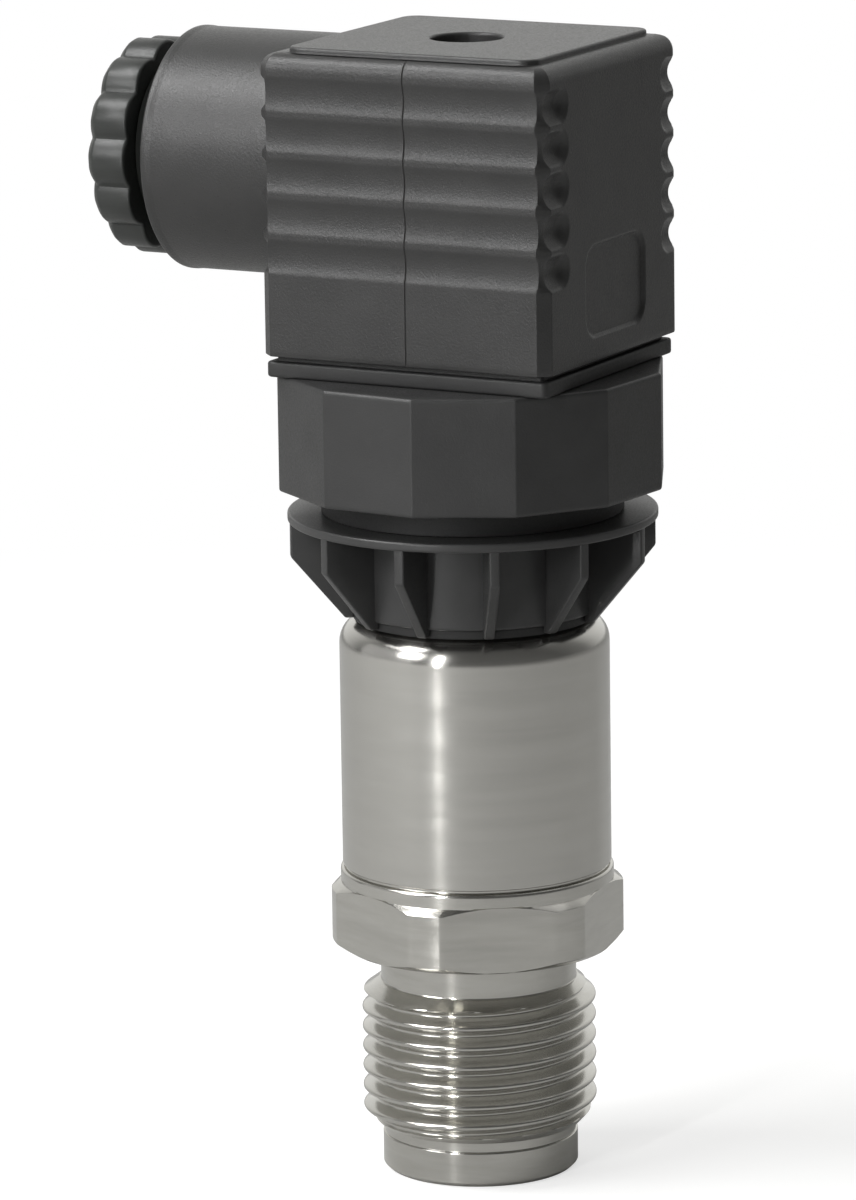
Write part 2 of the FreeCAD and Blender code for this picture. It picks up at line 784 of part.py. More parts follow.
def make_pin_carrier():
    """Round contact carrier with a square boss, a hub below and slots for the four blades."""
    body = new_body("pin_carrier")
    body.setExpression("Placement.Base.z", expression("base_head"))
    disc = sketch_on(body, "carrier_disc", "XY_Plane")
    draw_circle(disc, "carrier_radius")
    extrude("Pad", body, disc, "carrier_thickness", reverse=True)
    boss = sketch_on(body, "carrier_boss", "XY_Plane")
    draw_outline(boss, box_corners("carrier_boss_width / 2", "carrier_boss_depth / 2"))
    extrude("Pad", body, boss, "carrier_boss_height")
    hub = sketch_on(body, "carrier_hub", "XY_Plane", out="-(carrier_thickness)")
    draw_circle(hub, "hub_radius")
    extrude("Pad", body, hub, "hub_height", reverse=True)
    bush = sketch_on(body, "bush_hole", "XY_Plane", out="carrier_boss_height")
    draw_circle(bush, "bush_radius + fit_gap")
    extrude("Pocket", body, bush, "carrier_boss_height + carrier_thickness + hub_height")
    slot = sketch_on(body, "blade_slot", "XY_Plane", out="carrier_boss_height")
    draw_block_outline(slot, 0, "pin_circle_radius", "0",
                       "(blade_thickness / 2 + fit_gap)", "(blade_width / 2 + fit_gap)")
    first_slot = extrude("Pocket", body, slot, "carrier_boss_height + carrier_thickness")
    repeat_round(body, first_slot, "4")
    return body


def make_threaded_bush():
    """Brass bush for the fixing screw, its core hole a running fit on the screw."""
    return turned_body("threaded_bush", ring_section(
        "screw_radius + screw_core_gap", "bush_radius",
        "carrier_foot - hub_height", "boss_head"))


def make_contact(name, angle, rise):
    """Flat contact blade with a bevelled tip, standing on the pin circle."""
    body = new_body(name)
    body.Placement = Placement(Vector(0, 0, 0), Rotation(Vector(0, 0, 1), angle))
    body.setExpression("Placement.Base.z", expression("boss_head"))
    sketch = sketch_on(body, name + "_outline", "YZ_Plane", out="pin_circle_radius")
    half = "blade_width / 2"
    foot = "-(carrier_boss_height + carrier_thickness + blade_tail)"
    draw_outline(sketch, [
        (f"-({half})", foot),
        (half, foot),
        (half, f"{rise} - blade_bevel"),
        (f"{half} - blade_bevel", rise),
        (f"-({half} - blade_bevel)", rise),
        (f"-({half})", f"{rise} - blade_bevel"),
    ])
    extrude("Pad", body, sketch, "blade_thickness", both=True)
    return body


def make_gasket():
    """Flat profile gasket with a raised bead under the plug's rim."""
    body = new_body("profile_gasket")
    body.setExpression("Placement.Base.z", expression("base_head"))
    outer = sketch_on(body, "gasket_outline", "XY_Plane")
    half_x = "(gasket_width / 2)"
    half_y = "(gasket_depth / 2)"
    draw_outline(outer, rounded_corners(
        f"-{half_x}", f"-{half_y}", half_x, half_y, ["gasket_corner"] * 4))
    extrude("Pad", body, outer, "gasket_thickness")
    bead = sketch_on(body, "bead_outline", "XY_Plane", out="gasket_thickness")
    draw_outline(bead, box_corners(f"{half_x} - gasket_bead_inset", f"{half_y} - gasket_bead_inset"))
    extrude("Pad", body, bead, "gasket_bead_height")
    field = sketch_on(body, "bead_inside", "XY_Plane", out="gasket_thickness + gasket_bead_height")
    inset = "gasket_bead_inset - gasket_bead_width"
    draw_outline(field, box_corners(f"{half_x} - {inset}", f"{half_y} - {inset}"))
    extrude("Pocket", body, field, "gasket_bead_height")
    opening = sketch_on(body, "gasket_opening", "XY_Plane", out="gasket_thickness")
    draw_outline(opening, box_corners(
        "carrier_boss_width / 2 + gasket_gap", "carrier_boss_depth / 2 + gasket_gap"))
    extrude("Pocket", body, opening, "gasket_thickness")
    return body


# --- Plug ---------------------------------------------------------------------------------------


def make_plug_housing():
    """Moulded housing: gripped faces, scooped corners, gland barrel and a deep screw hole."""
    body = new_body("plug_housing")
    body.setExpression("Placement.Base.z", expression("plug_foot"))
    half_x = "(plug_width / 2)"
    half_y = "(plug_depth / 2)"
    bevel = "front_bevel"
    outline = sketch_on(body, "housing_outline", "XY_Plane")
    draw_outline(outline, [
        (f"-{half_x} + {bevel}", f"-{half_y}"),
        (f"{half_x} - {bevel}", f"-{half_y}"),
        (half_x, f"-{half_y} + {bevel}"),
        (half_x, f"{half_y} - back_corner",
         "back_corner", f"{half_x} - back_corner", f"{half_y} - back_corner"),
        (f"{half_x} - back_corner", half_y),
        (f"-{half_x} + back_corner", half_y,
         "back_corner", f"-{half_x} + back_corner", f"{half_y} - back_corner"),
        (f"-{half_x}", f"{half_y} - back_corner"),
        (f"-{half_x}", f"-{half_y} + {bevel}"),
    ])
    shell = extrude("Pad", body, outline, "plug_height")
    document.recompute()
    top = amount("plug_height")
    rim = [f"Edge{index}" for index, edge in enumerate(shell.Shape.Edges, start=1)
           if all(abs(vertex.Point.z - top) < 1e-6 for vertex in edge.Vertexes)]
    rounding = body.newObject("PartDesign::Fillet", "top_rounding")
    rounding.Base = (shell, rim)
    rounding.setExpression("Radius", expression("top_round"))
    plateau = sketch_on(body, "plateau_outline", "XY_Plane", out="plug_height - plateau_rise")
    wide = "(plateau_width / 2)"
    deep = "(plateau_depth / 2)"
    draw_outline(plateau, rounded_corners(
        f"plateau_shift - {wide}", f"-{deep}", f"plateau_shift + {wide}", deep,
        ["plateau_corner"] * 4))
    extrude("Pad", body, plateau, "2 * plateau_rise")

    first_grip = "plug_height - grip_top"
    for side, sign in (("front", "-"), ("back", "")):
        grip = sketch_on(body, side + "_grip", "YZ_Plane")
        centre = f"{sign}({half_y} + grip_radius - grip_depth)"
        draw_circle(grip, "grip_radius", centre, first_grip)
        cut = extrude("Pocket", body, grip, "plug_width + 2 * barrel_length", both=True)
        repeat_down(body, cut, "grip_count", "grip_pitch")
    half_chord = "sqrt(scoop_radius ^ 2 - (scoop_radius - scoop_depth) ^ 2)"
    for side, sign, reach in (("front", "-", "front_scoop_reach"), ("back", "", "back_scoop_reach")):
        scoop = sketch_on(body, side + "_scoop", "XY_Plane",
                          across=f"{half_x} + scoop_radius - scoop_depth", out=first_grip)
        dome = f"{sign}({half_y} - {reach} + {half_chord})"
        mouth = f"{sign}({half_y} + scoop_radius)"
        tip = f"{sign}({half_y} - {reach} + {half_chord} - scoop_radius)"
        draw_outline(scoop, [
            ("0", mouth),
            ("-scoop_radius", mouth),
            ("-scoop_radius", dome, "scoop_radius", "0", dome),
            ("0", tip),
        ])
        cut = turn("Groove", body, scoop)
        repeat_down(body, cut, "grip_count", "grip_pitch")

    barrel = sketch_on(body, "barrel_outline", "YZ_Plane", out=f"-{half_x} + 2 * plug_wall")
    draw_circle(barrel, "barrel_radius", "0", "gland_rise")
    extrude("Pad", body, barrel, "barrel_length + 2 * plug_wall", reverse=True)
    rim_ring = sketch_on(body, "barrel_rim_outline", "YZ_Plane", out="-(barrel_end)")
    draw_circle(rim_ring, "barrel_radius + barrel_rim_rise", "0", "gland_rise")
    extrude("Pad", body, rim_ring, "barrel_rim")

    cavity = sketch_on(body, "cavity_outline", "XY_Plane")
    draw_outline(cavity, box_corners(f"{half_x} - plug_wall", f"{half_y} - plug_wall"))
    extrude("Pocket", body, cavity, "plug_height - plug_roof", reverse=True)
    pillar = sketch_on(body, "screw_pillar", "XY_Plane", out="pillar_foot - plug_foot")
    draw_circle(pillar, "pillar_radius")
    extrude("Pad", body, pillar, "plug_head - plug_roof / 2 - pillar_foot")
    well = sketch_on(body, "screw_well", "XY_Plane", out="plug_height + plateau_rise")
    draw_circle(well, "screw_hole_radius")
    extrude("Pocket", body, well, "plateau_head - seat_level")
    hole = sketch_on(body, "screw_passage", "XY_Plane", out="pillar_foot - plug_foot")
    draw_circle(hole, "screw_radius + shank_hole_gap")
    extrude("Pocket", body, hole, "2 * screw_seat_thickness", reverse=True)

    bore = sketch_on(body, "gland_bore", "YZ_Plane", out="-(barrel_end)")
    draw_circle(bore, "barrel_bore", "0", "gland_rise")
    extrude("Pocket", body, bore, "barrel_bore_depth", reverse=True)
    passage = sketch_on(body, "cable_passage", "YZ_Plane", out="-(barrel_end)")
    draw_circle(passage, "cable_hole", "0", "gland_rise")
    extrude("Pocket", body, passage, "barrel_length + 2 * plug_wall", reverse=True)

    plate = sketch_on(body, "plate_outline", "YZ_Plane", out=half_x)
    low = "plate_shift - plate_width / 2"
    high = "plate_shift + plate_width / 2"
    draw_outline(plate, rounded_corners(
        low, "plate_rise", high, "plate_rise + plate_height", ["plate_corner"] * 4))
    extrude("Pocket", body, plate, "plate_sink")
    return body


def make_contact_block():
    """Insulating block with a chamber and a blade slot for each terminal."""
    body = new_body("contact_block")
    body.setExpression("Placement.Base.z", expression("block_foot"))
    outline = sketch_on(body, "block_outline", "XY_Plane")
    draw_outline(outline, box_corners(
        "plug_width / 2 - plug_wall - block_gap", "plug_depth / 2 - plug_wall - block_gap"))
    extrude("Pad", body, outline, "block_height")
    passage = sketch_on(body, "block_passage", "XY_Plane")
    draw_circle(passage, "screw_radius + 2 * shank_hole_gap")
    extrude("Pocket", body, passage, "block_height", reverse=True)
    chamber = sketch_on(body, "terminal_chamber", "XY_Plane", out="block_height")
    middle = "(terminal_inner + terminal_outer) / 2"
    draw_block_outline(chamber, 0, middle, "0",
                       "((terminal_outer - terminal_inner) / 2 + block_gap)",
                       "(terminal_width / 2 + block_gap)")
    first_chamber = extrude("Pocket", body, chamber, "block_height - terminal_lift")
    repeat_round(body, first_chamber, "4")
    entry = sketch_on(body, "blade_entry", "XY_Plane")
    draw_block_outline(entry, 0, "pin_circle_radius", "0",
                       "(blade_thickness / 2 + 2 * blade_gap)", "(blade_width / 2 + 2 * blade_gap)")
    first_entry = extrude("Pocket", body, entry, "terminal_lift", reverse=True)
    repeat_round(body, first_entry, "4")
    return body


def make_terminal(name, angle):
    """Brass terminal with a slot for the blade and a tapped hole for its clamp screw."""
    body = new_body(name)
    body.Placement = Placement(Vector(0, 0, 0), Rotation(Vector(0, 0, 1), angle))
    body.setExpression("Placement.Base.z", expression("terminal_foot"))
    outline = sketch_on(body, name + "_outline", "XY_Plane")
    middle = "(terminal_inner + terminal_outer) / 2"
    draw_block_outline(outline, 0, middle, "0",
                       "(terminal_outer - terminal_inner) / 2", "terminal_width / 2")
    extrude("Pad", body, outline, "terminal_height")
    slot = sketch_on(body, name + "_slot", "XY_Plane")
    draw_block_outline(slot, 0, "pin_circle_radius", "0",
                       "(blade_thickness / 2 + blade_gap)", "(blade_width / 2 + blade_gap)")
    slot_depth = "blade_rise + earth_extra - block_lift - terminal_lift + slot_margin"
    extrude("Pocket", body, slot, slot_depth, reverse=True)
    hole = sketch_on(body, name + "_hole", "XY_Plane", out="terminal_height")
    draw_circle(hole, "clamp_screw_radius + fit_gap", middle, "0")
    extrude("Pocket", body, hole, "clamp_screw_depth")
    return body


def make_terminal_screws():
    """The four clamp screws on top of the terminals."""
    body = new_body("terminal_screws")
    body.AllowCompound = True
    body.setExpression("Placement.Base.z", expression("terminal_head"))
    middle = "(terminal_inner + terminal_outer) / 2"
    shank = sketch_on(body, "clamp_shanks", "XY_Plane")
    head = sketch_on(body, "clamp_heads", "XY_Plane")
    for angle in range(0, 360, 90):
        across = f"{middle} * cos({angle}deg)" if angle % 180 == 0 else "0"
        up = f"{middle} * sin({angle}deg)" if angle % 180 else "0"
        draw_circle(shank, "clamp_screw_radius", across, up)
        draw_circle(head, "clamp_head_radius", across, up)
    extrude("Pad", body, head, "clamp_head_height")
    extrude("Pad", body, shank, "clamp_screw_depth - fit_gap", reverse=True)
    return body


def make_gland():
    """Grommet, pressure washer and the lobed nut that squeezes them on the cable."""
    grommet = turned_across("gland_grommet", [
        ("seat_end", "nut_bore - block_gap"),
        ("seat_end", "barrel_bore - grommet_gap"),
        ("grommet_end", "barrel_bore - grommet_gap"),
        ("grommet_end", "nut_bore - block_gap"),
    ])
    washer = turned_across("gland_washer", [
        ("washer_end", "nut_bore"),
        ("washer_end", "barrel_bore - grommet_gap"),
        ("nut_thread_end", "barrel_bore - grommet_gap"),
        ("nut_thread_end", "nut_bore"),
    ])
    nut = turned_across("gland_nut", [
        ("nut_thread_end", "nut_bore"),
        ("nut_thread_end", "nut_thread_radius"),
        ("nut_foot + nut_bevel", "nut_thread_radius"),
        ("nut_foot + nut_bevel", "nut_bore"),
    ])
    lobes = sketch_on(nut, "nut_lobes_outline", "YZ_Plane", out="-(nut_end)")
    step = "360 / nut_lobes"
    chord = "nut_valley_radius * sin(180deg / nut_lobes)"
    sagitta = "(nut_head_radius - nut_valley_radius * cos(180deg / nut_lobes))"
    arc = f"(({chord}) ^ 2 + {sagitta} ^ 2) / (2 * {sagitta})"
    corners = []
    for index in range(int(amount("nut_lobes"))):
        angle = f"(nut_lobe_turn + {index} * {step}) * 1deg"
        mid_angle = f"(nut_lobe_turn + ({index} + 0.5) * {step}) * 1deg"
        hub = f"(nut_head_radius - {arc})"
        corners.append((
            f"nut_valley_radius * cos({angle})", f"nut_valley_radius * sin({angle})",
            arc, f"{hub} * cos({mid_angle})", f"{hub} * sin({mid_angle})"))
    draw_outline(lobes, corners)
    extrude("Pad", nut, lobes, "nut_head_length")
    bore = sketch_on(nut, "nut_bore_outline", "YZ_Plane", out="-(nut_end)")
    draw_circle(bore, "nut_bore")
    extrude("Pocket", nut, bore, "nut_head_length + nut_thread_length", reverse=True)
    bevel = sketch_on(nut, "nut_bevels", "XZ_Plane")
    draw_outline(bevel, [
        ("-(nut_end)", "nut_head_radius - nut_bevel"),
        ("-(nut_end - nut_bevel)", "nut_head_radius"),
        ("-(nut_end - nut_bevel)", "nut_head_radius + nut_bevel"),
        ("-(nut_end)", "nut_head_radius + nut_bevel"),
    ])
    turn("Groove", nut, bevel, "H_Axis")
    mouth = sketch_on(nut, "nut_mouth", "XZ_Plane")
    draw_outline(mouth, [
        ("-(nut_end)", "0"),
        ("-(nut_end)", "nut_bore + nut_bore_bevel"),
        ("-(nut_end - nut_bore_bevel)", "nut_bore"),
        ("-(nut_end - nut_bore_bevel)", "0"),
    ])
    turn("Groove", nut, mouth, "H_Axis")
    return [grommet, washer, nut]


def make_screw():
    """Slotted fixing screw and the washer under its head."""
    washer = turned_body("screw_washer", ring_section(
        "screw_radius + 3 * fit_gap", "screw_washer_radius", "seat_level", "screw_level"))
    screw = turned_body("fixing_screw", [
        ("0", "boss_head - screw_engagement"),
        ("screw_radius - edge_break", "boss_head - screw_engagement"),
        ("screw_radius", "boss_head - screw_engagement + edge_break"),
        ("screw_radius", "screw_level"),
        ("screw_head_radius", "screw_level"),
        ("screw_head_radius", "screw_level + screw_head_height - 2 * edge_break",
         "2 * edge_break", "screw_head_radius - 2 * edge_break",
         "screw_level + screw_head_height - 2 * edge_break"),
        ("screw_head_radius - 2 * edge_break", "screw_level + screw_head_height"),
        ("0", "screw_level + screw_head_height"),
    ])
    slot = sketch_on(screw, "screw_slot", "XY_Plane", out="screw_level + screw_head_height")
    draw_outline(slot, box_corners("screw_head_radius", "screw_slot_width / 2"))
    extrude("Pocket", screw, slot, "screw_slot_depth")
    return [washer, screw]


def build():
    """Make every piece of the transmitter."""
    pieces = [make_process_connection(), make_cell_seal(), make_cell(), make_cell_clamp()]
    pieces += make_electronics()
    pieces += [make_sleeve()]
    pieces += [turned_body("sleeve_seal", ring_section(
        "ring_bore", "core_radius - rib_root", "sleeve_head", "core_foot"))]
    pieces += [make_vent_ring()]
    pieces += [turned_body("neck_seal", [
        ("ring_bore", "flange_head"),
        ("neck_seal_radius", "flange_head"),
        ("neck_seal_radius", "base_foot - neck_seal_step"),
        ("neck_seal_radius - neck_seal_step", "base_foot - neck_seal_step"),
        ("neck_seal_radius - neck_seal_step", "base_foot"),
        ("ring_bore", "base_foot"),
    ])]
    pieces += [make_connector_base(), make_retaining_nut(), make_pin_carrier(), make_threaded_bush()]
    pieces += [make_contact("contact_pin_1", 180, "blade_rise")]
    pieces += [make_contact("contact_pin_2", 0, "blade_rise")]
    pieces += [make_contact("contact_pin_3", 270, "blade_rise")]
    pieces += [make_contact("earth_pin", 90, "blade_rise + earth_extra")]
    pieces += [make_gasket(), make_plug_housing(), make_contact_block()]
    for name, angle in (("terminal_1", 180), ("terminal_2", 0), ("terminal_3", 270)):
        pieces.append(make_terminal(name, angle))
    pieces += [make_terminal("earth_terminal", 90), make_terminal_screws()]
    pieces += make_gland() + make_screw()
    document.recompute()
    pieces.append(make_lead_wires())
    document.recompute()
    return pieces


def check(pieces):
    """Stop at a failed object or a shape that is empty or not valid."""
    for item in document.Objects:
        if {"Invalid", "Error"} & set(item.State):
            raise RuntimeError(f"{item.Label}: {item.State}")
    for piece in pieces:
        if piece.Shape.isNull() or not piece.Shape.isValid() or not piece.Shape.Solids:
            raise RuntimeError(f"{piece.Label}: not a valid solid")


parts = build()
check(parts)
os.makedirs("parts", exist_ok=True)
for part in parts:
    part.Shape.exportStep(f"parts/{part.Label}.step")
    print(f"{part.Label}: {len(part.Shape.Solids)} solid, {part.Shape.Volume:.1f} mm3")
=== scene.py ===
"""Pressure transmitter with a plug-on cable socket: surfaces, finishes, light and view.

All sizes are in millimetres, in the same frame as the solids: Z runs up from the foot of the
process connection, the cable gland points along -X and the front of the plug faces -Y.
"""

import math

import bpy
import numpy as np
from mathutils import Matrix, Vector


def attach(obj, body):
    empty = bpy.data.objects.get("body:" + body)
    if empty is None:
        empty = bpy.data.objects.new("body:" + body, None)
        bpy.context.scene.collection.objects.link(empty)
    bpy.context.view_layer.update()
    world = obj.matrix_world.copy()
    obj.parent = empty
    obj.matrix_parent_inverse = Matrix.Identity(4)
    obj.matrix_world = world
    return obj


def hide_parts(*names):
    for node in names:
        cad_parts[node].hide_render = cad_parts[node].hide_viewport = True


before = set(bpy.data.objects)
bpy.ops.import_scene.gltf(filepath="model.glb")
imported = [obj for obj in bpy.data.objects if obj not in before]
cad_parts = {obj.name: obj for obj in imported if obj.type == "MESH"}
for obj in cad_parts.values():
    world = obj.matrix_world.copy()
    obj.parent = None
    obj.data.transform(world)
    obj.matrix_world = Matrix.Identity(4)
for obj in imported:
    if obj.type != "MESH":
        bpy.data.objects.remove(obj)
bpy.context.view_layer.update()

MM = 0.001
TURN = 2 * np.pi

# Levels along Z.
COLLAR_HEAD = 3.2
THREAD_FOOT = 4.2
THREAD_HEAD = 17.3
HEX_FOOT = 20.5
HEX_HEAD = 26.5
BAND_HEAD = 27.7
SLEEVE_FOOT = 28.0
SLEEVE_HEAD = 50.35
RING_FOOT = 51.15
FLANGE_FOOT = 59.2
FLANGE_HEAD = 60.0
BASE_FOOT = 62.35
BASE_HEAD = 72.8
GASKET_HEAD = 74.2
PLUG_FOOT = 74.7
GLAND_LEVEL = 90.65
HOLLOW_ROOF = 98.3
PLUG_HEAD = 101.3
PLATEAU_HEAD = 101.8


# --- Surfaces -----------------------------------------------------------------------------------

SHARP_EDGE = 0.03


def softened(corners, steps=4, hold=0.1, closed=True):
    """Polyline through corners (across, up, radius) with every corner turned into an arc.

    The arc touches both edges at radius / tan(half the corner's angle) from the corner, and its
    points are a blend of the two end vectors about the centre, weighted by sines. A holding point
    on either side keeps the flat beyond it flat when it is shaded.
    """
    corners = np.array([(list(corner) + [SHARP_EDGE])[:3] for corner in corners], dtype=float)
    point, radius = corners[:, :2], corners[:, 2]
    back = np.roll(point, 1, axis=0) - point
    ahead = np.roll(point, -1, axis=0) - point
    back_length = np.linalg.norm(back, axis=1)
    ahead_length = np.linalg.norm(ahead, axis=1)
    back = back / back_length[:, None]
    ahead = ahead / ahead_length[:, None]
    cosine = np.clip((back * ahead).sum(axis=1), -0.9999, 0.9999)
    half = np.arccos(cosine) / 2
    reach = radius / np.tan(half)
    bisector = back + ahead
    bisector = bisector / np.maximum(np.linalg.norm(bisector, axis=1), 1e-9)[:, None]
    centre = point + bisector * (radius / np.sin(half))[:, None]
    start = point + back * reach[:, None] - centre
    finish = point + ahead * reach[:, None] - centre
    sweep = np.pi - 2 * half
    share = np.linspace(0, 1, steps + 1)[None, :, None]
    sine = np.sin(sweep)[:, None, None]
    arc = (np.sin((1 - share) * sweep[:, None, None]) * start[:, None, :]
           + np.sin(share * sweep[:, None, None]) * finish[:, None, :]) / sine
    arc = arc + centre[:, None, :]
    room_back = np.minimum(hold, 0.3 * (back_length - reach - np.roll(reach, 1)))
    room_ahead = np.minimum(hold, 0.3 * (ahead_length - reach - np.roll(reach, -1)))
    before = point + back * (reach + room_back)[:, None]
    after = point + ahead * (reach + room_ahead)[:, None]
    line = np.concatenate([before[:, None], arc, after[:, None]], axis=1)
    if closed:
        return line.reshape(-1, 2)
    inner = line[1:-1].reshape(-1, 2)
    return np.concatenate([point[:1], inner, point[-1:]])


def edge_rows(radius, steps=4):
    """Inset and drop of the rows that round an edge: a quarter circle from side to face."""
    angle = np.linspace(0, np.pi / 2, steps + 1)
    return radius * (1 - np.cos(angle)), radius * (1 - np.sin(angle))


def turned(section, columns=192):
    """Grid from a half section (radius, level) carried round Z: (r cos a, r sin a, z)."""
    angle = np.arange(columns) * TURN / columns
    radius = section[:, 0][:, None]
    level = np.broadcast_to(section[:, 1][:, None], (len(section), columns))
    return np.stack([radius * np.cos(angle), radius * np.sin(angle), level], axis=-1)


def laid_along_gland(grid):
    """A grid made about Z, laid over so that its Z runs along the cable gland, towards -X."""
    return np.stack([-grid[..., 2], grid[..., 1], grid[..., 0] + GLAND_LEVEL], axis=-1)


class RoundRows:
    """Grid about Z, row by row along its skin. A row has one radius and level, or one a column."""

    def __init__(self, angle):
        self.angle = angle
        self.radii, self.levels = [], []

    def add(self, radius, level):
        """One row."""
        self.radii.append(np.broadcast_to(radius, self.angle.shape))
        self.levels.append(np.broadcast_to(level, self.angle.shape))

    def add_chain(self, corners):
        """Rows along an open chain of softened corners."""
        for radius, level in softened(corners, closed=False):
            self.add(radius, level)

    def grid(self):
        """The rows as points: (r cos a, r sin a, z)."""
        radius, level = np.array(self.radii), np.array(self.levels)
        return np.stack([radius * np.cos(self.angle), radius * np.sin(self.angle), level],
                        axis=-1)


class PlanRows:
    """Grid about Z whose rows are plan outlines (x, y), each at its level."""

    def __init__(self, plain=None):
        self.plain = plain
        self.rows = []

    def add(self, outline, level):
        """One row."""
        self.rows.append(np.column_stack([outline, np.full(len(outline), float(level))]))

    def add_circles(self, corners):
        """Circles along an open chain of softened corners, in the plain outline's directions."""
        length = np.linalg.norm(self.plain, axis=1)[:, None]
        for radius, level in softened(corners, closed=False):
            self.add(self.plain / length * radius, level)

    def grid(self):
        """The rows as points."""
        return np.stack(self.rows)


def quads_of(rows, columns, wrapped):
    """Quads between neighbouring rows of a grid, whose columns run full circle."""
    row = np.arange(rows if wrapped else rows - 1)[:, None]
    column = np.arange(columns)[None, :]
    above = (row + 1) % rows * columns
    beside = (column + 1) % columns
    row = row * columns
    corners = [row + column, row + beside, above + beside, above + column]
    return np.stack(corners, axis=-1).reshape(-1, 4)


def add_piece(name, shells, finish, body, stands_for, crease=35):
    """Mesh from closed grids, in place of the solids that it stands for.

    A shell is (grid, wrapped): the last row of a wrapped one joins its first, and an unwrapped
    one gets two flat ends.
    """
    points, faces, first = [], [], 0
    for grid, wrapped in shells:
        rows, columns = grid.shape[:2]
        points.append(grid.reshape(-1, 3))
        faces += (quads_of(rows, columns, wrapped) + first).tolist()
        if not wrapped:
            faces.append((np.arange(columns)[::-1] + first).tolist())
            faces.append((np.arange(columns) + first + (rows - 1) * columns).tolist())
        first += rows * columns
    mesh = bpy.data.meshes.new(f"{name}_surface")
    mesh.from_pydata((np.concatenate(points) * MM).tolist(), [], faces)
    mesh.shade_smooth()
    mesh.set_sharp_from_angle(angle=math.radians(crease))
    mesh.materials.append(finish)
    piece = bpy.data.objects.new(f"{name}_surface", mesh)
    bpy.context.scene.collection.objects.link(piece)
    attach(piece, body)
    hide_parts(*stands_for)


# --- Finishes -----------------------------------------------------------------------------------


class Finish:
    """A procedural finish: one shader, fed by patterns on the object's own coordinates."""

    def __init__(self, name, colour, roughness, metallic=0.0, **constants):
        self.material = bpy.data.materials.new(name)
        self.material.use_nodes = True
        self.nodes = self.material.node_tree.nodes
        self.links = self.material.node_tree.links
        self.shader = self.nodes["Principled BSDF"]
        self.shader.inputs["Base Color"].default_value = (*colour, 1)
        self.shader.inputs["Roughness"].default_value = roughness
        self.shader.inputs["Metallic"].default_value = metallic
        for socket, value in constants.items():
            self.shader.inputs[socket.replace("_", " ")].default_value = value
        self.place = self.nodes.new("ShaderNodeTexCoord").outputs["Object"]
        self.height = None

    def pattern(self, scale, stretch=(1, 1, 1), detail=2.0, roughness=0.5):
        """Noise with features of about 1 / scale metres, stretched by axis."""
        mapping = self.nodes.new("ShaderNodeMapping")
        mapping.inputs["Scale"].default_value = [scale * axis for axis in stretch]
        self.links.new(self.place, mapping.inputs["Vector"])
        texture = self.nodes.new("ShaderNodeTexNoise")
        texture.inputs["Detail"].default_value = detail
        texture.inputs["Roughness"].default_value = roughness
        texture.inputs["Scale"].default_value = 1.0
        self.links.new(mapping.outputs["Vector"], texture.inputs["Vector"])
        return texture.outputs["Fac"]

    def spread(self, source, low, high, start=0.3, end=0.7):
        """A pattern's values between start and end, spread over low to high."""
        node = self.nodes.new("ShaderNodeMapRange")
        node.inputs["From Min"].default_value = start
        node.inputs["From Max"].default_value = end
        node.inputs["To Min"].default_value = low
        node.inputs["To Max"].default_value = high
        self.links.new(source, node.inputs["Value"])
        return node.outputs["Result"]

    def tint(self, source, colour, darker, lighter, start=0.3, end=0.7):
        """Base colour that runs with a pattern from a share darker to a share lighter."""
        ramp = self.nodes.new("ShaderNodeValToRGB")
        steps = zip(ramp.color_ramp.elements, (start, end), (1 - darker, 1 + lighter))
        for element, position, share in steps:
            element.position = position
            element.color = (*(channel * share for channel in colour), 1)
        self.links.new(source, ramp.inputs["Fac"])
        self.links.new(ramp.outputs["Color"], self.shader.inputs["Base Color"])

    def vary_roughness(self, source, low, high):
        """Roughness that runs from low to high with a pattern."""
        self.links.new(self.spread(source, low, high), self.shader.inputs["Roughness"])

    def relief(self, source, depth):
        """Surface relief of about depth millimetres, laid over any relief added before."""
        bump = self.nodes.new("ShaderNodeBump")
        bump.inputs["Strength"].default_value = 1.0
        bump.inputs["Distance"].default_value = depth * MM
        self.links.new(source, bump.inputs["Height"])
        if self.height is not None:
            self.links.new(self.height, bump.inputs["Normal"])
        self.height = bump.outputs["Normal"]
        self.links.new(self.height, self.shader.inputs["Normal"])

    def lathe_marks(self, along):
        """Tool marks that run round an axis, so that highlights spread along it."""
        tangent = self.nodes.new("ShaderNodeTangent")
        tangent.direction_type = "RADIAL"
        tangent.axis = along
        self.links.new(tangent.outputs["Tangent"], self.shader.inputs["Tangent"])


def moulded_plastic(name, colour, roughness, grain, grain_size, shade=0.12):
    """Moulded plastic with a spark-eroded grain and slightly uneven gloss and shade."""
    finish = Finish(name, colour, roughness, Specular_IOR_Level=0.5)
    finish.tint(finish.pattern(220, detail=3.0), colour, shade, shade)
    finish.vary_roughness(finish.pattern(5200, detail=3.0, roughness=0.7),
                          roughness - 0.09, roughness + 0.1)
    finish.relief(finish.pattern(1 / (grain_size * MM), detail=3.0, roughness=0.7), grain)
    finish.relief(finish.pattern(260), 0.03)
    return finish.material


def turned_steel(name, colour, roughness, ring_depth, anisotropy, streaks):
    """Turned stainless steel: fine rings of changing depth, long highlights along the axis."""
    finish = Finish(name, colour, roughness, 1.0,
                    Anisotropic=anisotropy, Anisotropic_Rotation=0.25)
    finish.lathe_marks("Z")
    rings = finish.pattern(1.0, (40, 40, 7000), detail=3.0, roughness=0.7)
    bands = finish.pattern(1.0, (25, 25, 700))
    smears = finish.pattern(1.0, (130, 130, 900), detail=4.0, roughness=0.65)
    finish.tint(smears, colour, 2 * streaks, streaks, 0.25, 0.75)
    finish.vary_roughness(bands, roughness - 0.03, roughness + 0.05)
    finish.relief(rings, ring_depth)
    return finish.material


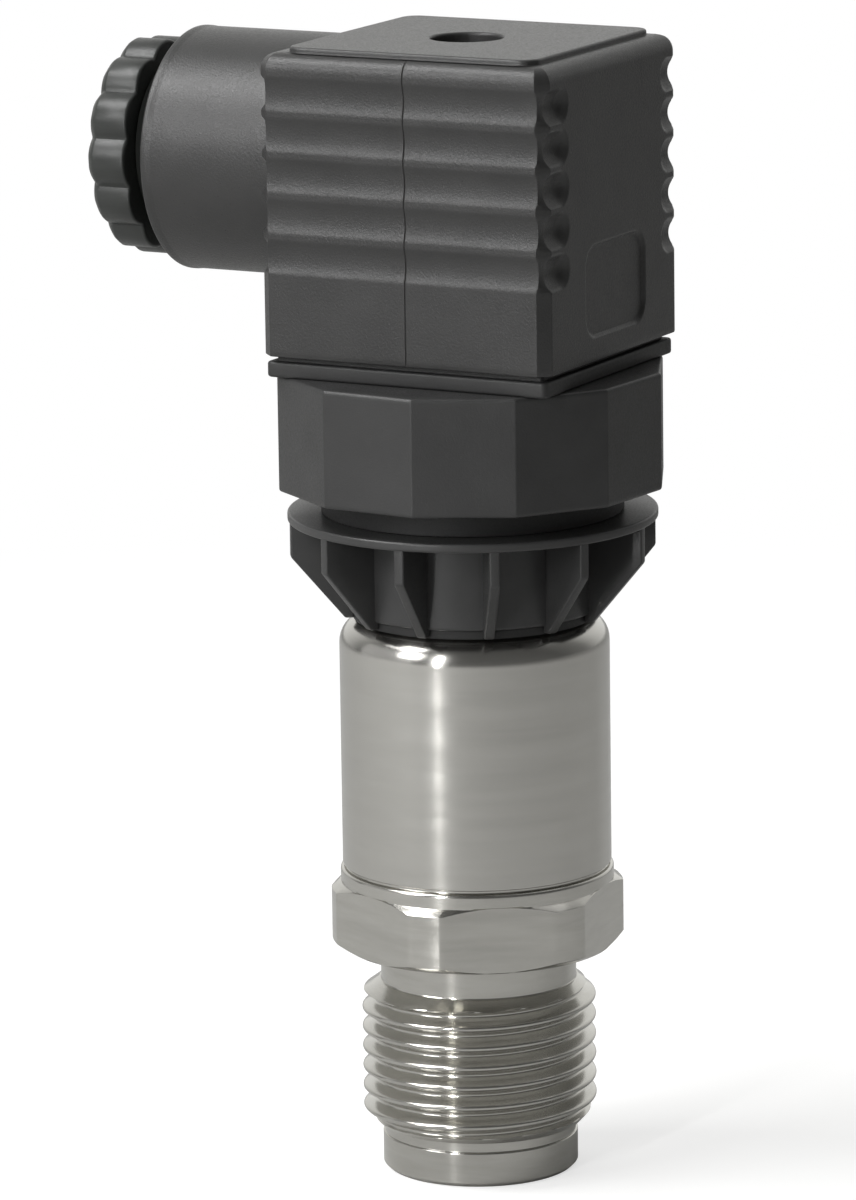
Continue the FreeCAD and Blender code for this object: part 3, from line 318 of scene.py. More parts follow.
def plain_metal(name, colour, roughness):
    """Small metal part with a fine, uneven surface."""
    finish = Finish(name, colour, roughness, 1.0)
    finish.vary_roughness(finish.pattern(1500, detail=3.0), roughness - 0.08, roughness + 0.1)
    finish.relief(finish.pattern(4000), 0.004)
    return finish.material


# Slot: colour, roughness, depth and size of the grain, and share of the shade if it isn't usual.
PLASTICS = {
    "housing_plastic": ((0.029, 0.0288, 0.0285), 0.36, 0.034, 0.2),
    "gland_plastic": ((0.025, 0.027, 0.025), 0.38, 0.008, 0.2),
    "ring_plastic": ((0.036, 0.036, 0.036), 0.38, 0.008, 0.2),
    "base_plastic": ((0.03, 0.03, 0.03), 0.43, 0.02, 0.2),
    "block_plastic": ((0.022, 0.022, 0.023), 0.45, 0.006, 0.2),
    "gasket_rubber": ((0.022, 0.022, 0.022), 0.55, 0.006, 0.3),
    "seal_rubber": ((0.012, 0.012, 0.012), 0.6, 0.006, 0.3),
    "white_ceramic": ((0.82, 0.80, 0.76), 0.35, 0.003, 0.3, 0.03),
    "board_laminate": ((0.03, 0.16, 0.07), 0.35, 0.004, 0.4),
    "chip_plastic": ((0.02, 0.02, 0.022), 0.5, 0.005, 0.15),
    "capacitor_ceramic": ((0.45, 0.30, 0.16), 0.4, 0.003, 0.3),
    "ribbon_film": ((0.55, 0.27, 0.06), 0.25, 0.002, 0.5),
    "wire_insulation": ((0.30, 0.05, 0.04), 0.35, 0.003, 0.3),
}
# Slot: colour and roughness.
METALS = {
    "brass": ((0.72, 0.52, 0.23), 0.28),
    "tinned_brass": ((0.70, 0.69, 0.66), 0.26),
    "zinc_plated_steel": ((0.62, 0.63, 0.66), 0.3),
}

finishes = {
    "stainless_steel": turned_steel(
        "turned_stainless", (0.57, 0.56, 0.525), 0.18, ring_depth=0.003, anisotropy=0.75,
        streaks=0.06),
    "drawn_stainless_steel": turned_steel(
        "sleeve_stainless", (0.56, 0.55, 0.52), 0.2, ring_depth=0.003, anisotropy=0.65,
        streaks=0.02),
}
finishes.update({slot: moulded_plastic(slot, *look) for slot, look in PLASTICS.items()})
finishes.update({slot: plain_metal(slot, *look) for slot, look in METALS.items()})


# --- Process connection, sleeve and seals -------------------------------------------------------

PORT = 3.0
COLLAR = 8.75
COLLAR_BEVEL = 0.35
GROOVE = 8.6
THREAD_PITCH = 1.814
THREAD_CREST = 10.4775
THREAD_ROOT = 9.3155
THREAD_ROUND = 0.249
THREAD_FLANK = math.radians(27.5)
THREAD_CUT = 0.2904
THREAD_ROWS = 182
LEAD_IN_DEPTH = 1.3
LEAD_IN_LENGTH = 1.4
RUN_OUT_DEPTH = 1.65
RUN_OUT_LENGTH = 1.2
CREST_LEVEL = 6.0
CREST_TURN = math.radians(62.08)
HEX_HALF = 12.0
HEX_CORNER = 13.04
HEX_TURN = math.radians(6.2)
HEX_BEVEL = math.radians(30)
BAND = 12.2
STEP = 11.7
RIM = 10.95
RIM_HEAD = 31.5
POCKET = 9.2
POCKET_FLOOR = 22.5
SLEEVE = 12.0
SLEEVE_BORE = 11.0
SHOULDER_WALL = 1.0
SHOULDER_RADIUS = 2.3
NECK_BORE = 8.95
SLEEVE_SEAL = 10.75
NECK_SEAL = 13.4
NECK_SEAL_STEP = 12.9


def hexagon_columns():
    """Angles round Z with a column on every edge between a flat and its turned corner."""
    edge = math.acos(HEX_HALF / HEX_CORNER)
    flat = np.linspace(-edge, edge, 28, endpoint=False)
    corner = np.linspace(edge, TURN / 6 - edge, 12, endpoint=False)
    sector = np.concatenate([flat, corner])
    return (HEX_TURN + np.arange(6)[:, None] * TURN / 6 + sector[None, :]).ravel()


def thread_radius(angle, level):
    """Whitworth-form helix: flanks fall at the flank angle, with round crest and root.

    The crest climbs by one pitch a turn, and both ends are cut back by a cone.
    """
    phase = (level - CREST_LEVEL) / THREAD_PITCH - (angle + CREST_TURN) / TURN
    away = np.abs(phase - np.round(phase)) * THREAD_PITCH
    sharp = THREAD_CREST + THREAD_CUT - 1 / math.tan(THREAD_FLANK) * away
    touch = THREAD_ROUND * math.cos(THREAD_FLANK)
    crest = THREAD_CREST - THREAD_ROUND + np.sqrt(np.maximum(THREAD_ROUND ** 2 - away ** 2, 0))
    low = THREAD_PITCH / 2 - away
    root = THREAD_ROOT + THREAD_ROUND - np.sqrt(np.maximum(THREAD_ROUND ** 2 - low ** 2, 0))
    radius = np.where(away < touch, crest, np.where(low < touch, root, sharp))
    lead_in = THREAD_CREST - LEAD_IN_DEPTH * (1 - (level - THREAD_FOOT) / LEAD_IN_LENGTH)
    run_out = THREAD_CREST - RUN_OUT_DEPTH * (1 - (THREAD_HEAD - level) / RUN_OUT_LENGTH)
    return np.minimum(radius, np.minimum(lead_in, run_out))


def make_process_connection():
    """Port collar, helical thread, bevelled hexagon, welding band and the pocket for the cell."""
    angle = hexagon_columns()
    across = np.abs((angle - HEX_TURN + TURN / 12) % (TURN / 6) - TURN / 12)
    hexagon = np.minimum(HEX_HALF / np.cos(across), HEX_CORNER)
    bevel = (hexagon - HEX_HALF) * math.tan(HEX_BEVEL)
    rows = RoundRows(angle)
    rows.add_chain([
        (PORT, 0.8), (PORT, 0.0, 0.3), (COLLAR - COLLAR_BEVEL, 0.0, 0.08),
        (COLLAR, COLLAR_BEVEL, 0.08), (COLLAR, COLLAR_HEAD, 0.15), (GROOVE, COLLAR_HEAD, 0.04),
        (GROOVE, THREAD_FOOT - 0.02)])
    for level in np.linspace(THREAD_FOOT, THREAD_HEAD, THREAD_ROWS):
        rows.add(thread_radius(angle, level), level)
    rows.add_chain([(8.8, THREAD_HEAD), (COLLAR, THREAD_HEAD + 0.1, 0.05),
                    (COLLAR, HEX_FOOT, 0.35), (HEX_HALF - 0.15, HEX_FOOT)])
    rows.add(HEX_HALF, HEX_FOOT + 0.02)
    rows.add(hexagon - 0.06, HEX_FOOT + bevel + 0.005)
    rows.add(hexagon, HEX_FOOT + bevel + 0.07)
    for share in (0.1, 0.5, 0.9):
        rows.add(hexagon, HEX_FOOT + bevel + (HEX_HEAD - HEX_FOOT - 2 * bevel) * share)
    rows.add(hexagon, HEX_HEAD - bevel - 0.07)
    rows.add(hexagon - 0.06, HEX_HEAD - bevel - 0.005)
    covered = hexagon > BAND
    head = np.where(covered, HEX_HEAD - (BAND - HEX_HALF) * math.tan(HEX_BEVEL), HEX_HEAD)
    rows.add(np.where(covered, BAND, HEX_HALF), head)
    rows.add(BAND, head + 0.02)
    rows.add_chain([
        (BAND, HEX_HEAD + 0.1), (BAND, BAND_HEAD, 0.28), (STEP, BAND_HEAD, 0.1),
        (STEP, SLEEVE_FOOT), (RIM, SLEEVE_FOOT), (RIM, RIM_HEAD, 0.3), (POCKET, RIM_HEAD, 0.1),
        (POCKET, POCKET_FLOOR, 0.1), (PORT, POCKET_FLOOR, 0.1), (PORT, 20.0)])
    add_piece("process_connection", [(rows.grid(), True)], finishes["stainless_steel"],
              "transmitter", ["process_connection"], crease=42)


def make_sleeve():
    """Drawn sleeve with a rounded shoulder."""
    section = softened([
        (SLEEVE_BORE, SLEEVE_FOOT), (SLEEVE, SLEEVE_FOOT, 0.15), (SLEEVE, SLEEVE_HEAD, SHOULDER_RADIUS),
        (NECK_BORE, SLEEVE_HEAD, 0.1), (NECK_BORE, SLEEVE_HEAD - SHOULDER_WALL, 0.05),
        (9.7, SLEEVE_HEAD - SHOULDER_WALL, 0.05),
        (SLEEVE_BORE, SLEEVE_HEAD - SHOULDER_RADIUS, 0.2),
    ], steps=10)
    add_piece("body_sleeve", [(turned(section, 256), True)], finishes["drawn_stainless_steel"],
              "transmitter", ["body_sleeve"])


def make_plain_seals():
    """Seal on the sleeve's shoulder and the stepped seal between vent ring and base."""
    step = BASE_FOOT - 0.5
    lower = [(NECK_BORE, SLEEVE_HEAD), (SLEEVE_SEAL, SLEEVE_HEAD, 0.1),
             (SLEEVE_SEAL, RING_FOOT, 0.1), (NECK_BORE, RING_FOOT)]
    upper = [(NECK_BORE, FLANGE_HEAD), (NECK_SEAL, FLANGE_HEAD, 0.1), (NECK_SEAL, step, 0.2),
             (NECK_SEAL_STEP, step, 0.1), (NECK_SEAL_STEP, BASE_FOOT), (NECK_BORE, BASE_FOOT)]
    for name, corners in (("sleeve_seal", lower), ("neck_seal", upper)):
        add_piece(name, [(turned(softened(corners)), True)], finishes["seal_rubber"],
                  "transmitter", [name])


# --- Vent ring, connector base and gasket -------------------------------------------------------

RING_CORE = 11.15
FLANGE = 16.4
RIB_COUNT = 12
RIB_TURN = np.radians(4.0)
RIB_FOOT = 50.5
RIB_ROOT = 10.75
RIB_REACH = 16.25
RIB_HALF = 0.45
RIB_MIDDLE = np.array([13.5, 56.0])
BASE_SIDES = 12
BASE_HALF = 16.8
BASE_CORNER = 0.35
BASE_TURN = math.radians(-5.0)
BASE_MOUTH = 14.5
BASE_BORE = 7.0
SPIGOT = 8.8
SPIGOT_FOOT = 46.5
RECESS = 12.4
RECESS_FLOOR = 68.8
CUP = 10.5
CUP_FLOOR = 64.35
GASKET_HALF_X = 13.72
GASKET_HALF_Y = 12.52
GASKET_CORNER = 0.6
GASKET_OPENING = (10.9, 10.3)
# Inset, corner radius and rise above the gasket, row by row.
GASKET_BEAD = [(0.7, 0.35, 0.0), (0.74, 0.35, 0.3), (0.9, 0.35, 0.42), (1.5, 0.35, 0.42),
               (1.66, 0.3, 0.3), (1.7, 0.3, 0.0)]


def make_vent_ring():
    """Core and flange turned about Z, and twelve tapered ribs with rounded edges.

    A rib's rows are its side view, drawn in towards the rib's middle where its edges round off.
    """
    section = softened([
        (NECK_BORE, RING_FOOT), (RING_CORE, RING_FOOT, 0.25), (RING_CORE, FLANGE_FOOT, 0.5),
        (FLANGE, FLANGE_FOOT, 0.2), (FLANGE, FLANGE_HEAD, 0.2), (NECK_BORE, FLANGE_HEAD),
    ])
    shells = [(turned(section, 240), True)]
    side = softened([
        (RIB_ROOT, RIB_FOOT, 0.05), (11.5, RIB_FOOT, 0.3), (RIB_REACH, 56.15, 0.5),
        (RIB_REACH, FLANGE_FOOT + 0.1, 0.05), (RIB_ROOT, FLANGE_FOOT + 0.1, 0.05)])
    outward = side - RIB_MIDDLE
    outward = outward / np.linalg.norm(outward, axis=1)[:, None]
    inset, drop = edge_rows(0.16, 3)
    offset = np.concatenate([-RIB_HALF + drop[::-1], RIB_HALF - drop])[:, None]
    shrink = np.concatenate([inset[::-1], inset])
    profile = np.stack([side - outward * narrow for narrow in shrink])
    radius, level = profile[..., 0], profile[..., 1]
    for turn in RIB_TURN + np.arange(RIB_COUNT) * TURN / RIB_COUNT:
        x = radius * np.cos(turn) + offset * np.sin(turn)
        y = radius * np.sin(turn) - offset * np.cos(turn)
        shells.append((np.stack([x, y, level], axis=-1), False))
    add_piece("vent_ring", shells, finishes["ring_plastic"], "transmitter", ["vent_ring"],
              crease=50)


def base_outline(inset):
    """Twelve-sided plan of the connector base, with a middle point on every step."""
    turn = BASE_TURN + (np.arange(BASE_SIDES) + 0.5) * TURN / BASE_SIDES
    radius = (BASE_HALF - inset) / math.cos(TURN / BASE_SIDES / 2)
    soft = np.full(BASE_SIDES, max(BASE_CORNER - inset, 0.05))
    line = softened(np.column_stack([radius * np.cos(turn), radius * np.sin(turn), soft]))
    middle = (line + np.roll(line, -1, axis=0)) / 2
    return np.stack([line, middle], axis=1).reshape(-1, 2)


def make_connector_base():
    """Twelve-sided housing: rows of its outline, a stepped recess above and a spigot below."""
    plain = base_outline(0)
    inset, drop = edge_rows(0.3)
    rows = PlanRows(plain)
    rows.add_circles([
        (BASE_BORE, 48.0), (BASE_BORE, SPIGOT_FOOT, 0.1), (SPIGOT, SPIGOT_FOOT, 0.3),
        (SPIGOT, BASE_FOOT, 0.2), (BASE_MOUTH, BASE_FOOT)])
    for narrow, rise in zip(inset[::-1], drop[::-1]):
        rows.add(base_outline(narrow), BASE_FOOT + rise)
    rows.add(plain, BASE_FOOT + 0.5)
    rows.add(plain, BASE_HEAD - 0.5)
    for narrow, rise in zip(inset, drop):
        rows.add(base_outline(narrow), BASE_HEAD - rise)
    rows.add_circles([
        (BASE_MOUTH, BASE_HEAD), (RECESS, BASE_HEAD, 0.1), (RECESS, RECESS_FLOOR),
        (CUP, RECESS_FLOOR, 0.1), (CUP, CUP_FLOOR, 0.2), (BASE_BORE, CUP_FLOOR, 0.1),
        (BASE_BORE, 60.0)])
    add_piece("connector_base", [(rows.grid(), True)], finishes["base_plastic"],
              "transmitter", ["connector_base"], crease=28)


def box_outline(half_x, half_y, corner):
    """Rectangle about Z with round corners."""
    corners = [(-half_x, -half_y, corner), (half_x, -half_y, corner),
               (half_x, half_y, corner), (-half_x, half_y, corner)]
    return softened(corners, 6, 0.3)


def make_gasket():
    """Profile gasket: rounded edge, raised bead and a square opening for the contact boss."""
    inset, drop = edge_rows(0.25)
    edge = [(narrow, max(GASKET_CORNER - narrow, 0.35), rise)
            for narrow, rise in zip(inset, drop)]
    skin = [(narrow, corner, BASE_HEAD + rise) for narrow, corner, rise in edge[::-1]]
    skin += [(narrow, corner, GASKET_HEAD - rise) for narrow, corner, rise in edge]
    skin += [(narrow, corner, GASKET_HEAD + rise) for narrow, corner, rise in GASKET_BEAD]
    rows = PlanRows()
    for narrow, corner, level in skin:
        rows.add(box_outline(GASKET_HALF_X - narrow, GASKET_HALF_Y - narrow, corner), level)
    for level in (GASKET_HEAD - 0.02, BASE_HEAD + 0.02, BASE_HEAD):
        rows.add(box_outline(*GASKET_OPENING, 0.15), level)
    add_piece("profile_gasket", [(rows.grid(), True)], finishes["gasket_rubber"],
              "transmitter", ["profile_gasket"])


# --- Plug housing -------------------------------------------------------------------------------

HALF_X = 14.05
HALF_Y = 12.85
WALL = 2.0
TOP_EDGE = 1.5
FRONT_BEVEL = 1.0
BACK_CORNER = 0.9
GRIP_TOP = 3.47
GRIP_PITCH = 3.57
GRIP_RADIUS = 4.2
GRIP_DEPTH = 0.28
LAST_GRIP = 4
SCOOP_RADIUS = 1.9
SCOOP_DEPTH = 0.8
FRONT_SCOOP = 4.4
BACK_SCOOP = 3.2
PLATE_MIDDLE = (0.5, 80.85)
PLATE_HALF = (5.8, 4.15)
PLATE_CORNER = 2.0
PLATE_DEPTH = 0.3
SEAM_PLACE = 0.35
SEAM_DEPTH = 0.08
SEAM_WIDTH = 0.045
PLATEAU_HALF = (12.1, 11.7)
PLATEAU_SHIFT = np.array([0.2, 0.0])
PLATEAU_CORNER = 1.6
WELL = 3.2
WELL_FLOOR = 88.4
SCREW_HOLE = 1.7
BOSS = 4.4
BOSS_FOOT = 86.5
BARREL = 10.8
BARREL_RIM = BARREL + 0.06
BARREL_ROOT = 13.0
BARREL_TOP_HALF = 2.4
BARREL_TOP_REACH = 2.4
BARREL_END = 26.95
BARREL_BORE = 8.0
BORE_DEPTH = 11.5
PASSAGE = 5.5


def soft_positive(depth, ease):
    """Depth above zero, eased in over about ease: (d + sqrt(d^2 + e^2)) / 2 - e / 2."""
    return np.maximum((depth + np.sqrt(depth ** 2 + ease ** 2)) / 2 - ease / 2, 0)


def from_nearest_grip(level):
    """Distance along Z from the middle of the nearest of the five grips."""
    steps = np.clip(np.round((PLUG_HEAD - GRIP_TOP - level) / GRIP_PITCH), 0, LAST_GRIP)
    return level - (PLUG_HEAD - GRIP_TOP - steps * GRIP_PITCH)


def grip_depth(level):
    """How far a grip cuts into the front and back: a circle's arc below the face."""
    away = np.minimum(np.abs(from_nearest_grip(level)), GRIP_RADIUS)
    arc = np.sqrt(GRIP_RADIUS ** 2 - away ** 2) - (GRIP_RADIUS - GRIP_DEPTH)
    return soft_positive(arc, 0.04)


def scoop_depth(level, inward, reach):
    """How far a corner scoop cuts into the side.

    It is a capsule along Y whose round end lies reach from the corner.
    """
    half_chord = math.sqrt(SCOOP_RADIUS ** 2 - (SCOOP_RADIUS - SCOOP_DEPTH) ** 2)
    beyond = np.maximum(inward - (reach - half_chord), 0)
    away = from_nearest_grip(level)
    square = SCOOP_RADIUS ** 2 - away ** 2 - beyond ** 2
    ball = np.sqrt(np.maximum(square, 0)) - (SCOOP_RADIUS - SCOOP_DEPTH)
    return soft_positive(ball, 0.05)


def plate_depth(across, level):
    """Shallow rounded plate in the right side: its distance field, eased over its depth."""
    y = np.abs(across - PLATE_MIDDLE[0]) - (PLATE_HALF[0] - PLATE_CORNER)
    z = np.abs(level - PLATE_MIDDLE[1]) - (PLATE_HALF[1] - PLATE_CORNER)
    outside = np.hypot(np.maximum(y, 0), np.maximum(z, 0)) + np.minimum(np.maximum(y, z), 0)
    share = np.clip((PLATE_CORNER - outside) / PLATE_DEPTH, 0, 1)
    return PLATE_DEPTH * share * share * (3 - 2 * share)


def housing_outline(inset=0.0):
    """Plan of the housing: bevelled front corners, round back corners, even steps between."""
    x, y = HALF_X - inset, HALF_Y - inset
    bevel = FRONT_BEVEL - 0.586 * inset
    back = max(BACK_CORNER - inset, 0.3)
    corners = softened([
        (-x + bevel, -y, 0.15), (x - bevel, -y, 0.15), (x, -y + bevel, 0.15),
        (x, y, back), (-x, y, back), (-x, -y + bevel, 0.15),
    ], 6, 0.12)
    runs = np.split(corners, 6)
    front_run = runs[1][0, 0] - runs[0][-1, 0]
    about_seam = (SEAM_PLACE - runs[0][-1, 0] + SEAM_WIDTH * np.linspace(-3, 3, 9)) / front_run
    front = np.sort(np.concatenate([np.linspace(0, 1, 60)[1:-1], about_seam]))[:, None]
    side = np.linspace(0, 1, 142)[1:-1, None]
    rear = np.linspace(0, 1, 50)[1:-1, None]
    shares = [front, None, side, rear, side[::2], None]
    line = []
    for run, following, share in zip(runs, runs[1:] + runs[:1], shares):
        line.append(run)
        if share is not None:
            line.append(run[-1] + (following[0] - run[-1]) * share)
    return np.concatenate(line)


def carved(outline, level):
    """Housing outline at a level, pressed in by the grips, the scoops, the plate and the seam."""
    x, y = outline[:, 0], outline[:, 1]
    grip = grip_depth(np.asarray(level))
    front = scoop_depth(level, y + HALF_Y, FRONT_SCOOP)
    rear = scoop_depth(level, HALF_Y - y, BACK_SCOOP)
    side = np.maximum(front, rear)
    plate = np.where(x > 0, plate_depth(y, level), 0)
    new_x = np.sign(x) * np.minimum(np.abs(x), HALF_X - np.maximum(side, plate))
    new_y = np.clip(y, -HALF_Y + grip, HALF_Y - grip)
    seam = SEAM_DEPTH * np.exp(-((x - SEAM_PLACE) / SEAM_WIDTH) ** 2) * (y < -HALF_Y + 1.4)
    return np.column_stack([new_x, new_y + seam])


def on_box(points, half_x, half_y):
    """Points moved along their lines from the middle to a box about it."""
    return points * np.minimum(half_x / np.maximum(np.abs(points[:, 0]), 1e-6),
                               half_y / np.maximum(np.abs(points[:, 1]), 1e-6))[:, None]


def plateau_outline(plain, narrow):
    """The housing's columns on the plateau's plan: a box with round corners, off the middle."""
    half = np.array(PLATEAU_HALF) - narrow
    flat = on_box(plain - PLATEAU_SHIFT, *half)
    corner = max(PLATEAU_CORNER - narrow, 0.3)
    core = half - corner
    away = flat - np.clip(flat, -core, core)
    length = np.linalg.norm(away, axis=1)[:, None]
    rounded = np.clip(flat, -core, core) + away / np.maximum(length, 1e-9) * corner
    cornered = (np.abs(flat) > core).all(axis=1)[:, None]
    return np.where(cornered, rounded, flat) + PLATEAU_SHIFT


def make_housing_shell():
    """Rows up the outside, over the plateau, down the screw well and back through the hollow."""
    plain = housing_outline()
    rows = PlanRows(plain)
    rows.add(housing_outline(0.12), PLUG_FOOT)
    rows.add(housing_outline(0.03), PLUG_FOOT + 0.04)
    for level in np.concatenate([np.linspace(PLUG_FOOT + 0.12, 76.4, 4),
                                 np.linspace(76.55, PLUG_HEAD - TOP_EDGE, 160)]):
        rows.add(carved(plain, level), level)
    inset, drop = edge_rows(TOP_EDGE, 8)
    for narrow, down in zip(inset[1:], drop[1:]):
        level = PLUG_HEAD - down
        rows.add(carved(housing_outline(narrow), level), level)
    for narrow, rise in ((-0.12, 0.0), (-0.03, 0.03), (0.0, 0.12)):
        rows.add(plateau_outline(plain, narrow), PLUG_HEAD + rise)
    for narrow, down in zip(*edge_rows(0.25)):
        rows.add(plateau_outline(plain, narrow), PLATEAU_HEAD - down)
    rows.add(plateau_outline(plain, 0.6), PLATEAU_HEAD)
    rows.add_circles([
        (5.0, PLATEAU_HEAD), (WELL, PLATEAU_HEAD, 0.25), (WELL, WELL_FLOOR, 0.1),
        (SCREW_HOLE, WELL_FLOOR, 0.1), (SCREW_HOLE, BOSS_FOOT, 0.1), (BOSS, BOSS_FOOT, 0.1),
        (BOSS, HOLLOW_ROOF, 0.2), (6.0, HOLLOW_ROOF)])
    for narrow, level in ((0.2, HOLLOW_ROOF), (0.0, HOLLOW_ROOF - 0.2), (0.0, PLUG_FOOT + 0.3),
                          (-0.08, PLUG_FOOT + 0.05), (-0.2, PLUG_FOOT)):
        rows.add(on_box(plain, HALF_X - WALL - narrow, HALF_Y - WALL - narrow), level)
    return rows.grid()


def make_gland_barrel():
    """Barrel of the cable gland with a thin rim, its bore and the passage behind it.

    Its root is carried further in near the top, where the barrel stands above the shoulder.
    """
    seat = BARREL_END - BORE_DEPTH
    section = softened([
        (PASSAGE, BARREL_ROOT), (9.4, BARREL_ROOT), (BARREL, BARREL_ROOT),
        (BARREL, BARREL_END - 1.0, 0.3), (BARREL_RIM, BARREL_END - 0.5, 0.1),
        (BARREL_RIM, BARREL_END, 0.2), (BARREL_BORE, BARREL_END, 0.35),
        (BARREL_BORE, seat, 0.1), (PASSAGE, seat, 0.1),
    ], 5)
    grid = turned(section, 224)
    radius, across, along = grid[..., 0], grid[..., 1], grid[..., 2]
    root = (radius > 9.2) & (along < BARREL_ROOT + 0.2)
    top = root & (np.abs(across) < BARREL_TOP_HALF)
    grid[..., 2] = np.where(top, along - BARREL_TOP_REACH, along)
    return laid_along_gland(grid)


def make_plug_housing():
    """Housing shell and gland barrel."""
    shells = [(make_housing_shell(), True), (make_gland_barrel(), True)]
    add_piece("plug_housing", shells, finishes["housing_plastic"], "plug", ["plug_housing"],
              crease=40)


# --- Gland nut ----------------------------------------------------------------------------------

NUT_FOOT = 29.3
NUT_END = 33.4
NUT_HEAD = 9.75
NUT_VALLEY = 9.0
NUT_LOBES = 13
NUT_TURN = math.radians(86.95)
NUT_BORE = 5.0
NUT_SPIGOT = 7.3
NUT_SPIGOT_END = 23.2
NUT_PITCH = 1.5
NUT_THREAD_DEPTH = 0.62
# Inset and drop below the end, row by row over the rounded outer edge.
NUT_CROWN = [(0.03, 0.85), (0.16, 0.66), (0.42, 0.4), (0.72, 0.14), (0.95, 0.02)]


def make_gland_nut():
    """Lobed head, threaded spigot and bore: rows along the gland.

    A lobe is an arc about a hub point off the axis: r = hub cos a + sqrt(bend^2 - hub^2 sin^2 a).
    """
    columns = NUT_LOBES * 24
    angle = np.arange(columns) * TURN / columns
    step = TURN / NUT_LOBES
    away = (angle - NUT_TURN) % step - step / 2
    chord = NUT_VALLEY * math.sin(step / 2)
    sagitta = NUT_HEAD - NUT_VALLEY * math.cos(step / 2)
    bend = (chord ** 2 + sagitta ** 2) / (2 * sagitta)
    hub = NUT_HEAD - bend
    outline = hub * np.cos(away) + np.sqrt(bend ** 2 - (hub * np.sin(away)) ** 2)
    thread_start = NUT_SPIGOT_END + 0.6
    rows = RoundRows(angle)
    rows.add_chain([
        (NUT_BORE, 26.0), (NUT_BORE, NUT_SPIGOT_END, 0.1), (NUT_SPIGOT, NUT_SPIGOT_END, 0.1),
        (7.6, NUT_SPIGOT_END + 0.4, 0.05), (7.6, thread_start)])
    for level in np.linspace(thread_start, NUT_FOOT - 0.1, 90):
        wave = np.abs(((level - NUT_SPIGOT_END) / NUT_PITCH + angle / TURN) % 1.0 - 0.5) * 2
        rows.add(NUT_SPIGOT + NUT_THREAD_DEPTH * np.clip(1.35 * wave - 0.15, 0, 1), level)
    rows.add(7.4, NUT_FOOT)
    rows.add(outline - 0.4, NUT_FOOT)
    inset, drop = edge_rows(0.25, 3)
    for narrow, rise in zip(inset[::-1], drop[::-1]):
        rows.add(outline - narrow, NUT_FOOT + rise)
    rows.add(outline, NUT_FOOT + 1.2)
    rows.add(outline, NUT_END - 1.0)
    for narrow, down in NUT_CROWN:
        rows.add(np.minimum(outline, NUT_HEAD - 0.05) - narrow, NUT_END - down)
    rows.add_chain([(7.6, NUT_END), (6.0, NUT_END, 0.15), (NUT_BORE, NUT_END - 1.0, 0.2),
                    (NUT_BORE, NUT_END - 3.0)])
    add_piece("gland_nut", [(laid_along_gland(rows.grid()), True)], finishes["gland_plastic"],
              "nut", ["gland_nut"], crease=40)


make_process_connection()
make_sleeve()
make_plain_seals()
make_vent_ring()
make_connector_base()
make_gasket()
make_plug_housing()
make_gland_nut()

# --- Pieces whose solids are shown as they are --------------------------------------------------

SHOWN_SOLIDS = {
    "seal_rubber": ["cell_seal", "gland_grommet"],
    "white_ceramic": ["ceramic_cell"],
    "stainless_steel": ["cell_clamp_ring"],
    "board_laminate": ["circuit_board"],
    "chip_plastic": ["amplifier_chip"],
    "capacitor_ceramic": ["filter_capacitors"],
    "ribbon_film": ["cell_ribbon"],
    "wire_insulation": ["lead_wires"],
    "block_plastic": ["wire_header", "pin_carrier", "contact_block"],
    "brass": ["retaining_nut", "threaded_bush"],
    "tinned_brass": ["contact_pin_1", "contact_pin_2", "contact_pin_3", "earth_pin",
                     "terminal_1", "terminal_2", "terminal_3", "earth_terminal"],
    "gland_plastic": ["gland_washer"],
    "zinc_plated_steel": ["terminal_screws", "screw_washer", "fixing_screw"],
}

for look, nodes_shown in SHOWN_SOLIDS.items():
    for node in nodes_shown:
        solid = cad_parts[node]
        solid.data.materials.clear()
        solid.data.materials.append(finishes[look])

# --- Floor, light and view ----------------------------------------------------------------------

# Grey that a ray meets in the room, from the room's front (0) to its backdrop (1).
ROOM_GREYS = [(0.0, 0.13), (0.45, 0.10), (0.70, 0.20), (0.88, 0.70), (1.0, 0.95)]
BACKDROP = (205, 15)
FLOOR_REACH = 3.0
FLOOR_LIFT = 0.62
FLOOR_FADE = (0.06, 0.28)
LAMP_TARGET = (0.0, 0.0, 0.055)
# Name, azimuth, elevation, distance, width and height in metres, watts.
LAMPS = [
    ("front_strip", -4, 6, 0.9, 0.026, 1.0, 4.9),
    ("left_panel", -55, 8, 0.9, 1.0, 0.8, 1.0),
    ("crest_panel", -32, 27, 0.8, 0.26, 0.26, 1.9),
    ("barrel_panel", -57, 56, 0.8, 0.36, 0.36, 4.3),
    ("top_panel", 150, 70, 0.9, 0.6, 0.6, 0.45),
]
CAMERA_AZIMUTH = 27.921
CAMERA_ELEVATION = 12.082
CAMERA_ROLL = -0.808
CAMERA_DISTANCE = 629.28
CAMERA_LENS = 213.0
AIM_LEVEL = 51.676
AIM_ASIDE = -4.076


def direction(azimuth, elevation):
    """Unit vector towards an azimuth from the front, towards +X, and an elevation, in degrees."""
    turn, rise = math.radians(azimuth), math.radians(elevation)
    return np.array([math.sin(turn) * math.cos(rise), -math.cos(turn) * math.cos(rise),
                     math.sin(rise)])


def add_softbox(name, azimuth, elevation, distance, width, height, power):
    """Rectangular lamp that looks at the middle of the transmitter."""
    lamp = bpy.data.lights.new(name, "AREA")
    lamp.shape = "RECTANGLE"
    lamp.size = width
    lamp.size_y = height
    lamp.energy = power
    holder = bpy.data.objects.new(name, lamp)
    position = np.array(LAMP_TARGET) + direction(azimuth, elevation) * distance
    holder.location = position
    aim = Vector(LAMP_TARGET) - Vector(position)
    holder.rotation_euler = aim.to_track_quat("-Z", "Y").to_euler()
    bpy.context.scene.collection.objects.link(holder)


